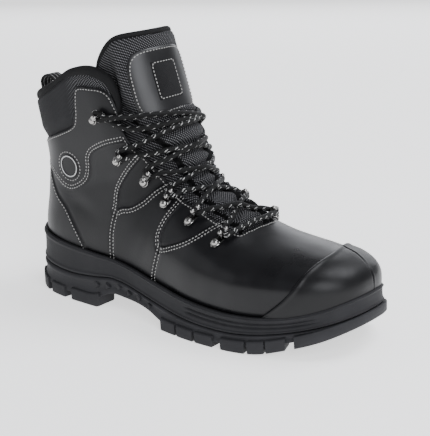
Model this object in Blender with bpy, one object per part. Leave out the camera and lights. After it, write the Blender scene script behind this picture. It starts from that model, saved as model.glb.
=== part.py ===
"""Lace-up safety boot for the right foot, as an assembly of its made pieces.

Design frame, in millimetres: x runs from the back of the heel to the toe, y is negative on the
outer (lateral) side and positive on the inner (medial) side, and z is the height above the floor.
One field function describes the outside of the upper on its last. Every piece that lies on the
upper, in it or around it is worked out from that field.
"""

import math

import bmesh
import bpy
import numpy as np

MM = 0.001


def table(columns, *rows):
    """A short table of sections: column names, then one row for each section."""
    return dict(zip(columns.split(), np.array(rows, float).T))


# Driving dimensions of the last, millimetres
TOE_TIP = 296.0
TOE_START = 214.0
TOE_TOP_START = 236.0
TOE_LATERAL_POWER = 2.25
TOE_MEDIAL_POWER = 2.7
TOE_TOP_POWER = 2.5
FOOT_BACK = 18.0
FOOT_BACK_START = 60.0
WIDEST_HEIGHT = 44.0
TUCK = 3.0
TUCK_HEIGHT = 22.0
BLEND = 18.0
HEEL_ROUND = 40.0
INSTEP_ROUND = 52.0
SHAFT_POWER = 2.15
FIELD_SCALE = 45.0

# The foot, a row for each upright section
FOOT = table(
    "x lateral medial centre top power",
    (20, 30, 30, 0, 70, 2.0),
    (60, 33, 32, 0, 92, 2.0),
    (105, 37, 33, 0, 108, 2.0),
    (150, 45, 38, 0, 104, 2.0),
    (190, 51, 46, 0, 85, 2.1),
    (222, 51.5, 50, 1, 71.5, 2.25),
    (255, 50, 50, 4, 65.5, 2.4),
    (296, 49, 50, 7, 65, 2.4),
)

# The shaft, a row for each level section
SHAFT = table(
    "z back front lateral medial",
    (30, 9, 128, 34, 34),
    (52, 6, 132, 35.5, 35),
    (80, 10, 145, 34.5, 34),
    (108, 13, 155, 35, 36),
    (135, 11, 147, 38.5, 38.5),
    (160, 8, 138, 41, 41),
    (205, 6, 123, 43, 43),
)


def curve(rows, column, at):
    """One column of a table as a smooth curve along the table's first column."""
    keys = rows[next(iter(rows))]
    values = rows[column]
    slopes = np.gradient(values, keys)
    at = np.clip(at, keys[0], keys[-1])
    i = np.clip(np.searchsorted(keys, at) - 1, 0, len(keys) - 2)
    span = keys[i + 1] - keys[i]
    t = (at - keys[i]) / span
    start = (2 * t**3 - 3 * t**2 + 1) * values[i] + (t**3 - 2 * t**2 + t) * span * slopes[i]
    end = (3 * t**2 - 2 * t**3) * values[i + 1] + (t**3 - t**2) * span * slopes[i + 1]
    return start + end


def rounded(x, start, tip, power):
    """Share of the full size left at x on the way from start to a round tip."""
    share = np.clip((x - start) / (tip - start), 0, 0.9999)
    return (1 - share**power) ** (1 / power)


def foot_field(x, y, z):
    """Negative inside the foot, zero on its surface: arched sections along x."""
    back = rounded(-x, -FOOT_BACK_START, -FOOT_BACK, 2)
    lateral = curve(FOOT, "lateral", x) * rounded(x, TOE_START, TOE_TIP, TOE_LATERAL_POWER)
    medial = curve(FOOT, "medial", x) * rounded(x, TOE_START, TOE_TIP, TOE_MEDIAL_POWER)
    side = y - curve(FOOT, "centre", x)
    tuck = TUCK * np.clip((WIDEST_HEIGHT - z) / TUCK_HEIGHT, 0, 1.5) ** 2
    half = np.maximum(np.where(side < 0, lateral, medial) * back - tuck, 0.2)
    rise = (curve(FOOT, "top", x) - WIDEST_HEIGHT) * rounded(x, TOE_TOP_START, TOE_TIP, TOE_TOP_POWER)
    power = curve(FOOT, "power", x)
    above = np.maximum(z - WIDEST_HEIGHT, 0) / np.maximum(rise * back, 0.2)
    reach = ((np.abs(side) / half) ** power + above**power) ** (1 / power)
    beyond = np.maximum(x - TOE_TIP, FOOT_BACK - x)
    return np.maximum((reach - 1) * FIELD_SCALE, beyond)


def shaft_field(x, y, z):
    """Negative inside the shaft, zero on its surface: round-ended level sections along z."""
    back = curve(SHAFT, "back", z) + HEEL_ROUND
    front = curve(SHAFT, "front", z) - INSTEP_ROUND
    half = np.where(y < 0, curve(SHAFT, "lateral", z), curve(SHAFT, "medial", z))
    end = np.maximum(back - x, 0) / HEEL_ROUND + np.maximum(x - front, 0) / INSTEP_ROUND
    tuck = TUCK * np.clip((WIDEST_HEIGHT - z) / TUCK_HEIGHT, 0, 1.5) ** 2
    reach = (end**SHAFT_POWER + (np.abs(y) / (half - tuck)) ** SHAFT_POWER) ** (1 / SHAFT_POWER)
    return (reach - 1) * FIELD_SCALE


def last_field(points):
    """The whole outside of the upper: foot and shaft run together with a soft blend."""
    x, y, z = np.moveaxis(np.asarray(points, float), -1, 0)
    foot = foot_field(x, y, z)
    shaft = shaft_field(x, y, z)
    near = np.maximum(BLEND - np.abs(foot - shaft), 0)
    return np.minimum(foot, shaft) - near**2 / (4 * BLEND)


def gradient(points):
    """Slope of the field at points, per millimetre."""
    step = 0.2
    moves = np.eye(3) * step
    slopes = [last_field(points + move) - last_field(points - move) for move in moves]
    return np.stack(slopes, -1) / (2 * step)


def normals(points):
    """Unit vectors that point out of the last."""
    slope = gradient(points)
    return slope / np.linalg.norm(slope, axis=-1, keepdims=True)


def settle(points, steps=12):
    """Points near the last, brought onto its surface."""
    for _ in range(steps):
        slope = gradient(points)
        size = np.sum(slope**2, -1, keepdims=True)
        points = points - slope * last_field(points)[..., None] / size
    return points


def cast(starts, directions, reach=130.0):
    """Where rays that start inside first leave the last."""
    steps = np.linspace(0, reach, 66)
    samples = starts[:, None] + directions[:, None] * steps[:, None]
    first = np.maximum(np.argmax(last_field(samples) > 0, axis=1), 1)
    low, high = steps[first - 1], steps[first]
    for _ in range(24):
        middle = (low + high) / 2
        inside = last_field(starts + directions * middle[:, None]) < 0
        low = np.where(inside, middle, low)
        high = np.where(inside, high, middle)
    return starts + directions * low[:, None]


# Stations round the boot, from the toe (share 0) to the back of the heel (share 1)
HALF_STATIONS = 31
TOE_SHARE = 0.3
HEEL_SHARE = 0.24
TOE_PIVOT = 236.0
HEEL_PIVOT = 47.0


def stance(share):
    """Spine x and bearing of a station: 0 is forward, a quarter turn outward, a half turn back."""
    toe = np.clip(share / TOE_SHARE, 0, 1)
    heel = np.clip((share - 1 + HEEL_SHARE) / HEEL_SHARE, 0, 1)
    middle = np.clip((share - TOE_SHARE) / (1 - TOE_SHARE - HEEL_SHARE), 0, 1)
    return TOE_PIVOT + (HEEL_PIVOT - TOE_PIVOT) * middle, np.radians(90 * (toe + heel))


def around():
    """Shares and sides (-1 lateral, 1 medial) of the closed loop of stations."""
    out = np.linspace(0, 1, HALF_STATIONS + 1)
    back = out[-2:0:-1]
    return np.concatenate([out, back]), np.concatenate([-np.ones(len(out)), np.ones(len(back))])


def ring(height, offset, shares, sides):
    """A loop round the last at a height that follows x, moved level outward by offset."""
    spine, bearing = stance(shares)
    directions = np.stack([np.cos(bearing), sides * np.sin(bearing), 0 * bearing], -1)
    x = spine
    for _ in range(3):
        points = cast(np.stack([spine, 0 * x, height(x)], -1), directions)
        x = points[:, 0]
    level = normals(points) * (1, 1, 0)
    return points + offset * level / np.linalg.norm(level, axis=-1, keepdims=True)


# The sole's heights, a row for each section: rim of the cup, line between midsole and outsole, tread
SOLE = table(
    "x rim split root tread",
    (0, 50, 25.5, 13, 7),
    (14, 48.5, 24.5, 8, 1.5),
    (30, 46.5, 23, 6, 0),
    (62, 43.5, 22, 6, 0),
    (84, 42, 24, 7, 0),
    (100, 41, 26, 14, 7),
    (115, 39, 24.7, 14, 8),
    (143, 34.8, 20.3, 11.5, 6),
    (158, 32.2, 17.6, 6, 0),
    (172, 30, 15.5, 5, 0),
    (222, 26, 13, 5, 0),
    (245, 26.5, 15, 7, 1.5),
    (262, 28.5, 18, 11, 6),
    (285, 35, 23.5, 18.5, 13.5),
    (304, 43, 29.5, 26, 22.5),
)
CUP_DEPTH = 7.0
GAP = 0.3
CUP_GAP = 0.4
WALL = 2.6
RIM_MARGIN = 3.4
WAIST_MARGIN = 4.6
SPLIT_MARGIN = 4.2
ROOT_MARGIN = 5.4
LUG_MARGIN = 5.8
LUG_LENGTH = 17.0
LUG_OVERLAP = 1.5
INSOLE_THICKNESS = 4.0
INSOLE_GAP = 0.7
INSOLE_TAPER = 0.4

# Lugs round the edge of the tread, a row for each: first and last station
EDGE_LUGS = table(
    "first last",
    (0.19, 0.245),
    (0.253, 0.298),
    (0.306, 0.348),
    (0.366, 0.402),
    (0.41, 0.444),
    (0.452, 0.486),
    (0.66, 0.735),
    (0.755, 0.82),
    (0.845, 0.915),
)
TOE_LUG = 0.165
HEEL_LUG = 0.06
LUG_STEP = 0.03

# Lugs inside the edge, a row for each pair: middle x, distance from the middle line, length and width
MIDDLE_LUGS = table(
    "x gap length width",
    (32, 8, 11, 10),
    (52, 9, 12, 12),
    (72, 8, 11, 10),
    (168, 10, 12, 13),
    (186, 12, 13, 15),
    (205, 13, 13, 16),
    (224, 13, 13, 16),
)
LUG_CORNERS = [(-1, 0), (-0.6, -1), (0.6, -1), (1, 0), (0.6, 1), (-0.6, 1)]


def rim_height(x):
    return curve(SOLE, "rim", x)


def floor_height(x):
    return curve(SOLE, "rim", x) - CUP_DEPTH


def split_height(x):
    return curve(SOLE, "split", x)


def root_height(x):
    return curve(SOLE, "root", x)


def tread_height(x):
    return np.maximum(curve(SOLE, "tread", x), 0)


def sole_loop(margin, height, shares, sides):
    """A loop round the sole: the outline at the rim moved out, at a height that follows x."""
    loop = ring(rim_height, margin, shares, sides)
    loop[:, 2] = height(loop[:, 0])
    return loop


# The topline and throat, a row for each turn: station, then x, distance from the middle and height
TOPLINE = table(
    "station x gap z",
    (0.0, 209.5, 0, 76),
    (0.16, 210, 11, 76),
    (0.30, 207, 21, 75),
    (0.37, 198, 22.5, 79),
    (0.43, 182, 22.5, 86),
    (0.50, 156, 24, 96),
    (0.54, 141, 27, 110),
    (0.58, 129, 32, 124),
    (0.62, 118, 36, 134),
    (0.65, 113, 37.5, 146),
    (0.68, 113, 38, 158),
    (0.72, 106.5, 39.5, 175),
    (0.77, 91, 42, 183.5),
    (0.83, 68, 42, 181),
    (0.90, 44, 41, 168),
    (0.95, 20, 27, 158),
    (1.0, 6, 0, 154),
)
UPPER_LEVELS = 13
FINE_LEVELS = 60
CHORD_INSET = 25.0
COLLAR_PAD = 4.0
PAD_STATIONS = (0.64, 0.72)
PAD_LEVELS = (0.62, 0.82)


def ramp(value, limits):
    """Rises from 0 to 1 between two limits, with soft ends."""
    share = np.clip((value - limits[0]) / (limits[1] - limits[0]), 0, 1)
    return share**2 * (3 - 2 * share)


def drape(feet, tops, levels):
    """Rows of points up the last from each foot to its top, evenly spaced along the surface."""
    chord = tops - feet
    along = chord / np.linalg.norm(chord, axis=-1, keepdims=True)
    out = normals(feet) * (1, 1, 0)
    out = out - along * np.sum(out * along, -1, keepdims=True)
    out = out / np.linalg.norm(out, axis=-1, keepdims=True)
    rows = [cast(feet + t * chord - CHORD_INSET * out, out) for t in np.linspace(0, 1, FINE_LEVELS)[1:-1]]
    fine = np.array([feet, *rows, tops])
    length = np.cumsum(np.linalg.norm(np.diff(fine, axis=0), axis=-1), axis=0)
    length = np.concatenate([np.zeros((1, len(feet))), length]) / length[-1]
    sheet = np.empty((levels + 1, len(feet), 3))
    for j in range(len(feet)):
        for k in range(3):
            sheet[:, j, k] = np.interp(np.linspace(0, 1, levels + 1), length[:, j], fine[:, j, k])
    return sheet


def upper_sheet(levels):
    """The outside of the upper: rows of points from the sole's floor to the topline."""
    shares, sides = around()
    feet = ring(lambda x: floor_height(x) + GAP, 0, shares, sides)
    gap = curve(TOPLINE, "gap", shares)
    tops = np.stack([curve(TOPLINE, "x", shares), sides * gap, curve(TOPLINE, "z", shares)], -1)
    return drape(feet, settle(tops), levels)


# Building meshes
ORIGIN = np.array([149.7, 0.2, 0.0])
SHARP_ANGLE = 40.0


def material(name, colour, roughness, metallic=0.0):
    made = bpy.data.materials.new(name)
    made.use_nodes = True
    shader = made.node_tree.nodes["Principled BSDF"]
    shader.inputs["Base Color"].default_value = (*colour, 1.0)
    shader.inputs["Roughness"].default_value = roughness
    shader.inputs["Metallic"].default_value = metallic
    return made


def shape(name, points, faces):
    """A mesh from points in millimetres, closed and facing out."""
    mesh = bpy.data.meshes.new(name)
    mesh.from_pydata([tuple((p - ORIGIN) * MM) for p in np.asarray(points, float)], [], faces)
    work = bmesh.new()
    work.from_mesh(mesh)
    bmesh.ops.recalc_face_normals(work, faces=work.faces)
    if work.calc_volume(signed=True) < 0:
        bmesh.ops.reverse_faces(work, faces=work.faces)
    work.to_mesh(mesh)
    work.free()
    return mesh


def add(name, mesh, finish):
    """A named, smooth-shaded object with its material."""
    mesh.name = name
    mesh.shade_smooth()
    mesh.set_sharp_from_angle(angle=math.radians(SHARP_ANGLE))
    mesh.materials.clear()
    mesh.materials.append(finish)
    made = bpy.data.objects.new(name, mesh)
    bpy.context.scene.collection.objects.link(made)


def union(meshes):
    """One mesh from several that run into each other."""
    scene = bpy.context.scene.collection
    helpers = [bpy.data.objects.new("piece", mesh) for mesh in meshes]
    for helper in helpers:
        scene.objects.link(helper)
    for helper in helpers[1:]:
        joiner = helpers[0].modifiers.new("join", "BOOLEAN")
        joiner.operation = "UNION"
        joiner.use_self = True
        joiner.object = helper
    bpy.context.view_layer.update()
    joined = helpers[0].evaluated_get(bpy.context.evaluated_depsgraph_get())
    mesh = bpy.data.meshes.new_from_object(joined)
    for helper in helpers:
        bpy.data.objects.remove(helper)
    return mesh


def bands(loops):
    """Faces between successive closed loops of equal length, numbered one loop after another."""
    faces = []
    count = len(loops[0])
    for row in range(len(loops) - 1):
        for j in range(count):
            k = (j + 1) % count
            low, high = row * count, (row + 1) * count
            faces.append((low + j, low + k, high + k, high + j))
    return faces


def ladder(first, count):
    """Faces across a closed loop, rung by rung from its lateral to its medial half."""
    half = count // 2
    faces = [(first, first + 1, first + count - 1)]
    for j in range(1, half - 1):
        faces.append((first + j, first + j + 1, first + count - j - 1, first + count - j))
    faces.append((first + half - 1, first + half, first + half + 1))
    return faces


def slab(name, outer, inner):
    """A closed sheet between two grids of points of the same size."""
    rows, columns = outer.shape[:2]
    size = rows * columns
    faces = []
    for row in range(rows - 1):
        for j in range(columns - 1):
            a = row * columns + j
            faces.append((a, a + 1, a + columns + 1, a + columns))
            faces.append((size + a, size + a + columns, size + a + columns + 1, size + a + 1))
    edge = list(range(columns))
    edge += [row * columns + columns - 1 for row in range(1, rows)]
    edge += [(rows - 1) * columns + j for j in range(columns - 2, -1, -1)]
    edge += [row * columns for row in range(rows - 2, 0, -1)]
    for a, b in zip(edge, edge[1:] + edge[:1]):
        faces.append((a, b, size + b, size + a))
    return shape(name, np.concatenate([outer.reshape(-1, 3), inner.reshape(-1, 3)]), faces)


def tube(name, path, radius, sides, out):
    """A closed tube along a path; out is a direction, or one for each point, that the path crosses."""
    path = np.asarray(path, float)
    ahead = np.gradient(path, axis=0)
    ahead = ahead / np.linalg.norm(ahead, axis=-1, keepdims=True)
    across = np.cross(ahead, out)
    across = across / np.linalg.norm(across, axis=-1, keepdims=True)
    up = np.cross(across, ahead)
    turn = np.arange(sides)[:, None] * 2 * np.pi / sides
    spread = np.cos(turn) * across[:, None] + np.sin(turn) * up[:, None]
    loops = path[:, None] + radius * spread
    faces = bands(loops)
    last = (len(path) - 1) * sides
    faces.append(tuple(range(sides)))
    faces.append(tuple(range(last, last + sides)))
    return shape(name, loops.reshape(-1, 3), faces)


def build_upper(finish):
    outer = upper_sheet(UPPER_LEVELS)
    shares, _ = around()
    up = np.linspace(0, 1, UPPER_LEVELS + 1)[:, None]
    pad = COLLAR_PAD * ramp(shares, PAD_STATIONS) * ramp(up, PAD_LEVELS)
    inner = outer - normals(outer) * (WALL + pad)[..., None]
    loops = [*outer, *inner[::-1]]
    count = len(shares)
    faces = bands(loops)
    last = (len(loops) - 1) * count
    for j in range(count):
        k = (j + 1) % count
        faces.append((last + j, last + k, k, j))
    add("upper", shape("upper", np.concatenate(loops), faces), finish)


def build_midsole(finish):
    shares, sides = around()
    split = sole_loop(SPLIT_MARGIN, lambda x: split_height(x) + GAP, shares, sides)
    waist = sole_loop(WAIST_MARGIN, lambda x: (split_height(x) + rim_height(x)) / 2, shares, sides)
    rim = ring(rim_height, RIM_MARGIN, shares, sides)
    cup = ring(rim_height, CUP_GAP, shares, sides)
    floor = ring(floor_height, CUP_GAP, shares, sides)
    loops = [split, waist, rim, cup, floor]
    count = len(shares)
    faces = bands(loops) + ladder(0, count) + ladder((len(loops) - 1) * count, count)
    add("midsole", shape("midsole", np.concatenate(loops), faces), finish)


def build_insole(finish):
    shares, sides = around()
    inset = -WALL - INSOLE_GAP
    top = INSOLE_GAP + INSOLE_THICKNESS
    low = ring(lambda x: floor_height(x) + INSOLE_GAP, inset, shares, sides)
    high = ring(lambda x: floor_height(x) + top, inset - INSOLE_TAPER, shares, sides)
    count = len(shares)
    faces = bands([low, high]) + ladder(0, count) + ladder(count, count)
    add("insole", shape("insole", np.concatenate([low, high]), faces), finish)


def edge_lug(first, last):
    """A lug on the edge of the tread between two signed stations, lateral ones below zero."""
    samples = math.ceil((last - first) / LUG_STEP) + 1
    signed = (np.linspace(first, last, samples) + 1) % 2 - 1
    shares, sides = np.abs(signed), np.where(signed < 0, -1, 1)
    grids = []
    for height in (tread_height, lambda x: root_height(x) + LUG_OVERLAP):
        outside = sole_loop(LUG_MARGIN, height, shares, sides)
        inside = sole_loop(LUG_MARGIN - LUG_LENGTH, height, shares, sides)
        grids.append(np.stack([outside, inside]))
    return slab("lug", *grids)


def middle_lug(x, y, length, width):
    """A six-sided lug inside the edge of the tread."""
    corners = np.array(LUG_CORNERS) * (length / 2, width / 2) + (x, y)
    low = np.column_stack([corners, tread_height(corners[:, 0])])
    high = np.column_stack([corners, root_height(corners[:, 0]) + LUG_OVERLAP])
    count = len(corners)
    faces = bands([low, high]) + [tuple(range(count)), tuple(range(count, 2 * count))]
    return shape("lug", np.concatenate([low, high]), faces)


def build_outsole(finish):
    shares, sides = around()
    top = sole_loop(SPLIT_MARGIN, split_height, shares, sides)
    low = sole_loop(ROOT_MARGIN, root_height, shares, sides)
    count = len(shares)
    faces = bands([low, top]) + ladder(0, count) + ladder(count, count)
    meshes = [shape("outsole", np.concatenate([low, top]), faces)]
    meshes.append(edge_lug(-TOE_LUG, TOE_LUG))
    meshes.append(edge_lug(1 - HEEL_LUG, 1 + HEEL_LUG))
    for first, last in zip(EDGE_LUGS["first"], EDGE_LUGS["last"]):
        meshes.append(edge_lug(first, last))
        meshes.append(edge_lug(-last, -first))
    for x, gap, length, width in zip(*MIDDLE_LUGS.values()):
        meshes.append(middle_lug(x, -gap, length, width))
        meshes.append(middle_lug(x, gap, length, width))
    add("outsole", union(meshes), finish)


# The toe bumper, a row for each point of its rear edge from the lateral to the medial rim
BUMPER_EDGE = table(
    "turn x y z",
    (-1, 247, -43, 30),
    (-0.75, 258, -40, 40),
    (-0.5, 265.5, -32, 51),
    (-0.25, 269, -17, 59),
    (0, 269, 2, 61.5),
    (0.25, 265.5, 20, 61),
    (0.5, 259, 36, 56),
    (0.75, 251, 45, 45),
    (1, 243, 47, 31),
)
BUMPER_END = 0.275
BUMPER_STATIONS = 24
BUMPER_LEVELS = 6
BUMPER_GAP = 0.8
BUMPER_THICKNESS = 2.1
BUMPER_LIFT = 0.9


def build_bumper(finish):
    turn = np.linspace(-1, 1, BUMPER_STATIONS + 1)
    sides = np.where(turn < 0, -1, 1)
    feet = ring(lambda x: rim_height(x) + BUMPER_LIFT, 0, np.abs(turn) * BUMPER_END, sides)
    edge = np.stack([curve(BUMPER_EDGE, axis, turn) for axis in "xyz"], -1)
    sheet = drape(feet, settle(edge), BUMPER_LEVELS)
    out = normals(sheet)
    mesh = slab("toe_bumper", sheet + (BUMPER_GAP + BUMPER_THICKNESS) * out, sheet + BUMPER_GAP * out)
    add("toe_bumper", mesh, finish)


# The instep under the laces: up runs from under the vamp (0) to the tongue's top (1)
SPINE = np.array([(222.0, 40.0), (86.0, 48.0), (62.0, 202.0)])
TILT_START = 82.0
TILT_END = 8.0


def instep_spine(up):
    """The middle point inside the boot at a level of the instep, and the tilt of the way out."""
    a, b, c = (1 - up) ** 2, 2 * up * (1 - up), up**2
    x, z = [a * SPINE[0, k] + b * SPINE[1, k] + c * SPINE[2, k] for k in (0, 1)]
    return np.stack([x, 0 * x, z], -1), np.radians(TILT_START + (TILT_END - TILT_START) * up)


def instep(up, across, offset):
    """Points over the instep: up along the throat, across as an angle from the middle in degrees."""
    up, across = np.broadcast_arrays(np.asarray(up, float), np.asarray(across, float))
    starts, tilt = instep_spine(up)
    turn = np.radians(across)
    way = np.stack([np.cos(tilt) * np.cos(turn), np.sin(turn), np.sin(tilt) * np.cos(turn)], -1)
    points = cast(starts.reshape(-1, 3), way.reshape(-1, 3)).reshape(starts.shape)
    return points + np.asarray(offset)[..., None] * normals(points)


# The tongue, a row for each level: half-width as an angle, depth of its edges and thickness
TONGUE = table(
    "up half sink thickness",
    (0.02, 30, 3.9, 2.5),
    (0.2, 36, 3.9, 3.0),
    (0.5, 38, 3.9, 4.5),
    (0.64, 41, 5.5, 5.5),
    (0.78, 43, 8.2, 6.0),
    (0.88, 46, 8.2, 7.0),
    (0.95, 51, 6.0, 8.0),
    (1.0, 42, 4.0, 6.0),
)
TONGUE_ROWS = 14
TONGUE_COLUMNS = 12
TONGUE_RISE = (0.5, 9.0)
THROAT_FRONT = 208.0
THROAT_STATIONS = (0.3, 0.65)


def throat_depth(points):
    """How far points lie inside the throat's edge, millimetres."""
    station = TOPLINE["station"]
    side = (station >= THROAT_STATIONS[0]) & (station <= THROAT_STATIONS[1])
    edge = np.interp(points[..., 0], TOPLINE["x"][side][::-1], TOPLINE["gap"][side][::-1])
    return np.minimum(edge - np.abs(points[..., 1]), THROAT_FRONT - points[..., 0])


def build_tongue(finish):
    up = np.linspace(TONGUE["up"][0], TONGUE["up"][-1], TONGUE_ROWS + 1)[:, None]
    across = curve(TONGUE, "half", up) * np.linspace(-1, 1, TONGUE_COLUMNS + 1)
    surface = instep(up, across, np.zeros(across.shape))
    sunk = curve(TONGUE, "sink", up) * (1 - ramp(throat_depth(surface), TONGUE_RISE))
    thickness = curve(TONGUE, "sink", up) + curve(TONGUE, "thickness", up)
    out = normals(surface)
    outer = surface - sunk[..., None] * out
    inner = surface - thickness[..., None] * out
    add("tongue", slab("tongue", outer, inner), finish)


# Lace hardware, a row for each pair with the hooks last: place of the rivet, and lift off the upper
EYELETS = table(
    "x lateral medial z lift",
    (200, 37, 33, 71, 0.5),
    (173, 33, 33, 81, 0.5),
    (148, 30.5, 32, 90, 1.15),
    (130, 31.5, 33, 104, 0.9),
    (108, 36, 37, 118, 0.8),
    (90, 40, 40, 148, 0.8),
)
THROAT_LEAN = (40.0, 0.0, 20.0)
RIVET_RADIUS = 3.1
RIVET_HEIGHT = 2.6
RIVET_DOME = (0, 40, 75)
PLATE_THICKNESS = 0.9
PLATE_WIDTH = 6.4
PLATE_BACK = 3.52
PLATE_FRONT = 8.4
RING_REACH = 7.4
RING_RADIUS = 3.9
RING_BORE = 2.75
RING_WIDTH = 5.0
HOOK_RADIUS = 1.1
HOOK_BEND = 3.2
HOOK_SIDES = 6
HOOK_STEPS = 6
ROUND_SIDES = 8
LACE_RADIUS = 2.2
LACE_CLEARANCE = 0.8
LACE_POINTS = 14
LACE_STEP = 11.5
LACE_PULLS = 60
LACE_SIDES = 6
LACE_LIFT_SHARE = 0.25
LACE_ASIDE = RING_RADIUS + 1.2
LACE_APART = 3.4


def seat(points):
    """Rivet places with their axes: out of the upper, up the throat, and across to the throat."""
    points = settle(np.asarray(points, float))
    out = normals(points)
    up = np.gradient(points, axis=0)
    up = up - out * np.sum(up * out, -1, keepdims=True)
    up = up / np.linalg.norm(up, axis=-1, keepdims=True)
    across = np.cross(out, up)
    inward = points * (0, -1, 0) + THROAT_LEAN
    across = across * np.sign(np.sum(across * inward, -1, keepdims=True))
    return points, out, up, across, EYELETS["lift"][:, None]


def hardware_row(side):
    """Seats of one side's eyelets from the toe upward, with the hook last."""
    gap = EYELETS["lateral"] if side < 0 else EYELETS["medial"]
    places = np.column_stack([EYELETS["x"], side * gap, EYELETS["z"]])
    return seat(places)


def turned(name, profile, sides, place, out, up, across):
    """A solid of revolution about the out axis from radius and height pairs, closed at both ends."""
    turn = np.arange(sides) * 2 * np.pi / sides
    loops = []
    for radius, height in profile:
        spread = np.cos(turn)[:, None] * up + np.sin(turn)[:, None] * across
        loops.append(place + radius * spread + height * out)
    faces = bands(loops) + [tuple(range(sides))]
    last = (len(loops) - 1) * sides
    faces.append(tuple(range(last, last + sides)))
    return shape(name, np.concatenate(loops), faces)


def rivet(place, out, up, across, lift):
    profile = [(RIVET_RADIUS, PLATE_THICKNESS / 3)]
    for a in np.radians(RIVET_DOME):
        profile.append((RIVET_RADIUS * math.cos(a), PLATE_THICKNESS + RIVET_HEIGHT * math.sin(a)))
    return turned("rivet", profile, ROUND_SIDES, place + lift * out, out, up, across)


def plate(place, up, across, lift):
    """The tab under a rivet and its band, lying on the upper."""
    reach = np.linspace(-PLATE_BACK, PLATE_FRONT, 4)[:, None, None]
    width = np.array((-0.5, 0, 0.5))[:, None] * PLATE_WIDTH
    foot = settle(place + reach * across + width * up)
    out = normals(foot)
    return slab("plate", foot + (lift + PLATE_THICKNESS) * out, foot + lift * out)


def band_axes(place, out, up, across, lift):
    """Middle and axes of the band that holds the lace beside a rivet."""
    foot = settle(place + RING_REACH * across)
    out = normals(foot)
    up = up - out * np.sum(up * out, -1, keepdims=True)
    up = up / np.linalg.norm(up, axis=-1, keepdims=True)
    side = np.cross(out, up)
    side = side * np.sign(np.sum(side * across, -1, keepdims=True))
    return foot + (lift + RING_RADIUS) * out, out, up, side


def build_eyelet(name, place, out, up, across, lift, finish):
    centre, band_out, band_up, band_across = band_axes(place, out, up, across, lift)
    turn = np.arange(ROUND_SIDES) * 2 * np.pi / ROUND_SIDES
    spread = np.cos(turn)[:, None] * band_across + np.sin(turn)[:, None] * band_out
    ends = [-RING_WIDTH / 2, RING_WIDTH / 2]
    outside = [centre + RING_RADIUS * spread + end * band_up for end in ends]
    inside = [centre + RING_BORE * spread + end * band_up for end in ends[::-1]]
    loops = [*outside, *inside]
    faces = bands(loops)
    last = 3 * len(turn)
    for j in range(len(turn)):
        k = (j + 1) % len(turn)
        faces.append((last + j, last + k, k, j))
    band = shape("band", np.concatenate(loops), faces)
    stem = rivet(place, out, up, across, lift)
    add(name, union([plate(place, up, across, lift), stem, band]), finish)


def build_hook(name, place, out, up, across, lift, finish):
    centre, band_out, band_up, band_across = band_axes(place, out, up, across, lift)
    turn = np.radians(np.linspace(-90, 90, HOOK_STEPS + 1))[:, None]
    arc = centre + HOOK_BEND * (np.sin(turn) * band_out - np.cos(turn) * band_across)
    bend = tube("bend", arc, HOOK_RADIUS, HOOK_SIDES, band_up)
    stem = rivet(place, out, up, across, lift)
    add(name, union([plate(place, up, across, lift), stem, bend]), finish)


def instep_place(points):
    """The instep's up and across for points on the last: the inverse of instep."""
    low, high = np.zeros(len(points)), np.ones(len(points))
    for _ in range(30):
        up = (low + high) / 2
        spine, tilt = instep_spine(up)
        ahead = (points[:, 2] - spine[:, 2]) * np.cos(tilt) - (points[:, 0] - spine[:, 0]) * np.sin(tilt)
        low = np.where(ahead > 0, up, low)
        high = np.where(ahead > 0, high, up)
    reach = (points[:, 0] - spine[:, 0]) * np.cos(tilt) + (points[:, 2] - spine[:, 2]) * np.sin(tilt)
    return up, np.degrees(np.arctan2(points[:, 1], reach))


def strand(start, end):
    """Lace path over the instep between two points just above the last, pulled tight."""
    t = np.linspace(0, 1, LACE_POINTS)
    up, across = instep_place(np.array([start, end]))
    path = instep(up[0] + (up[1] - up[0]) * t, across[0] + (across[1] - across[0]) * t, 0 * t)
    for _ in range(LACE_PULLS):
        path[1:-1] = settle((path[:-2] + path[2:]) / 2, 2)
    length = np.concatenate([[0], np.cumsum(np.linalg.norm(np.diff(path, axis=0), axis=-1))])
    t = np.linspace(0, 1, math.ceil(length[-1] / LACE_STEP) + 1)
    path = settle(np.stack([np.interp(t * length[-1], length, path[:, k]) for k in range(3)], -1), 3)
    path = path + (LACE_RADIUS + LACE_CLEARANCE) * normals(path)
    near_start = 1 - ramp(t, (0, LACE_LIFT_SHARE))
    near_end = ramp(t, (1 - LACE_LIFT_SHARE, 1))
    return path + near_start[:, None] * (start - path[0]) + near_end[:, None] * (end - path[-1])


def lace(path):
    return tube("strand", path, LACE_RADIUS, LACE_SIDES, normals(path))


def lace_ends(place, out, up, across, lift):
    """Where the lace comes to each band of a row from below, and where it leaves it upward."""
    centre, _, band_up, band_across = band_axes(place, out, up, across, lift)
    beside = centre + LACE_ASIDE * band_across
    return beside - LACE_APART * band_up, beside + LACE_APART * band_up


def build_laces(rows, finish):
    """Crossings from each pair of eyelets to the next, and the bars at the bottom and the top."""
    lateral, medial = [lace_ends(*row) for row in rows]
    for k in range(len(lateral[0]) - 1):
        meshes = []
        for here, there in ((lateral, medial), (medial, lateral)):
            meshes.append(lace(strand(here[1][k], there[0][k + 1])))
        add(f"lace_cross_{k + 1}", union(meshes), finish)
    for name, end, k in (("lace_bar_bottom", 0, 0), ("lace_bar_top", 1, -1)):
        add(name, lace(strand(lateral[end][k], medial[end][k])), finish)


# The pull loop, a row for each bend of its tape in the middle plane
PULL_LOOP = table(
    "turn x z",
    (0, 7.0, 134),
    (1, 4.9, 144),
    (2, 0, 155),
    (3, -1.5, 164),
    (4, 5, 169),
    (5, 13, 165),
    (6, 17.5, 155),
)
PULL_WIDTH = 13.0
PULL_THICKNESS = 1.4
PULL_STEPS = 16


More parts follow.
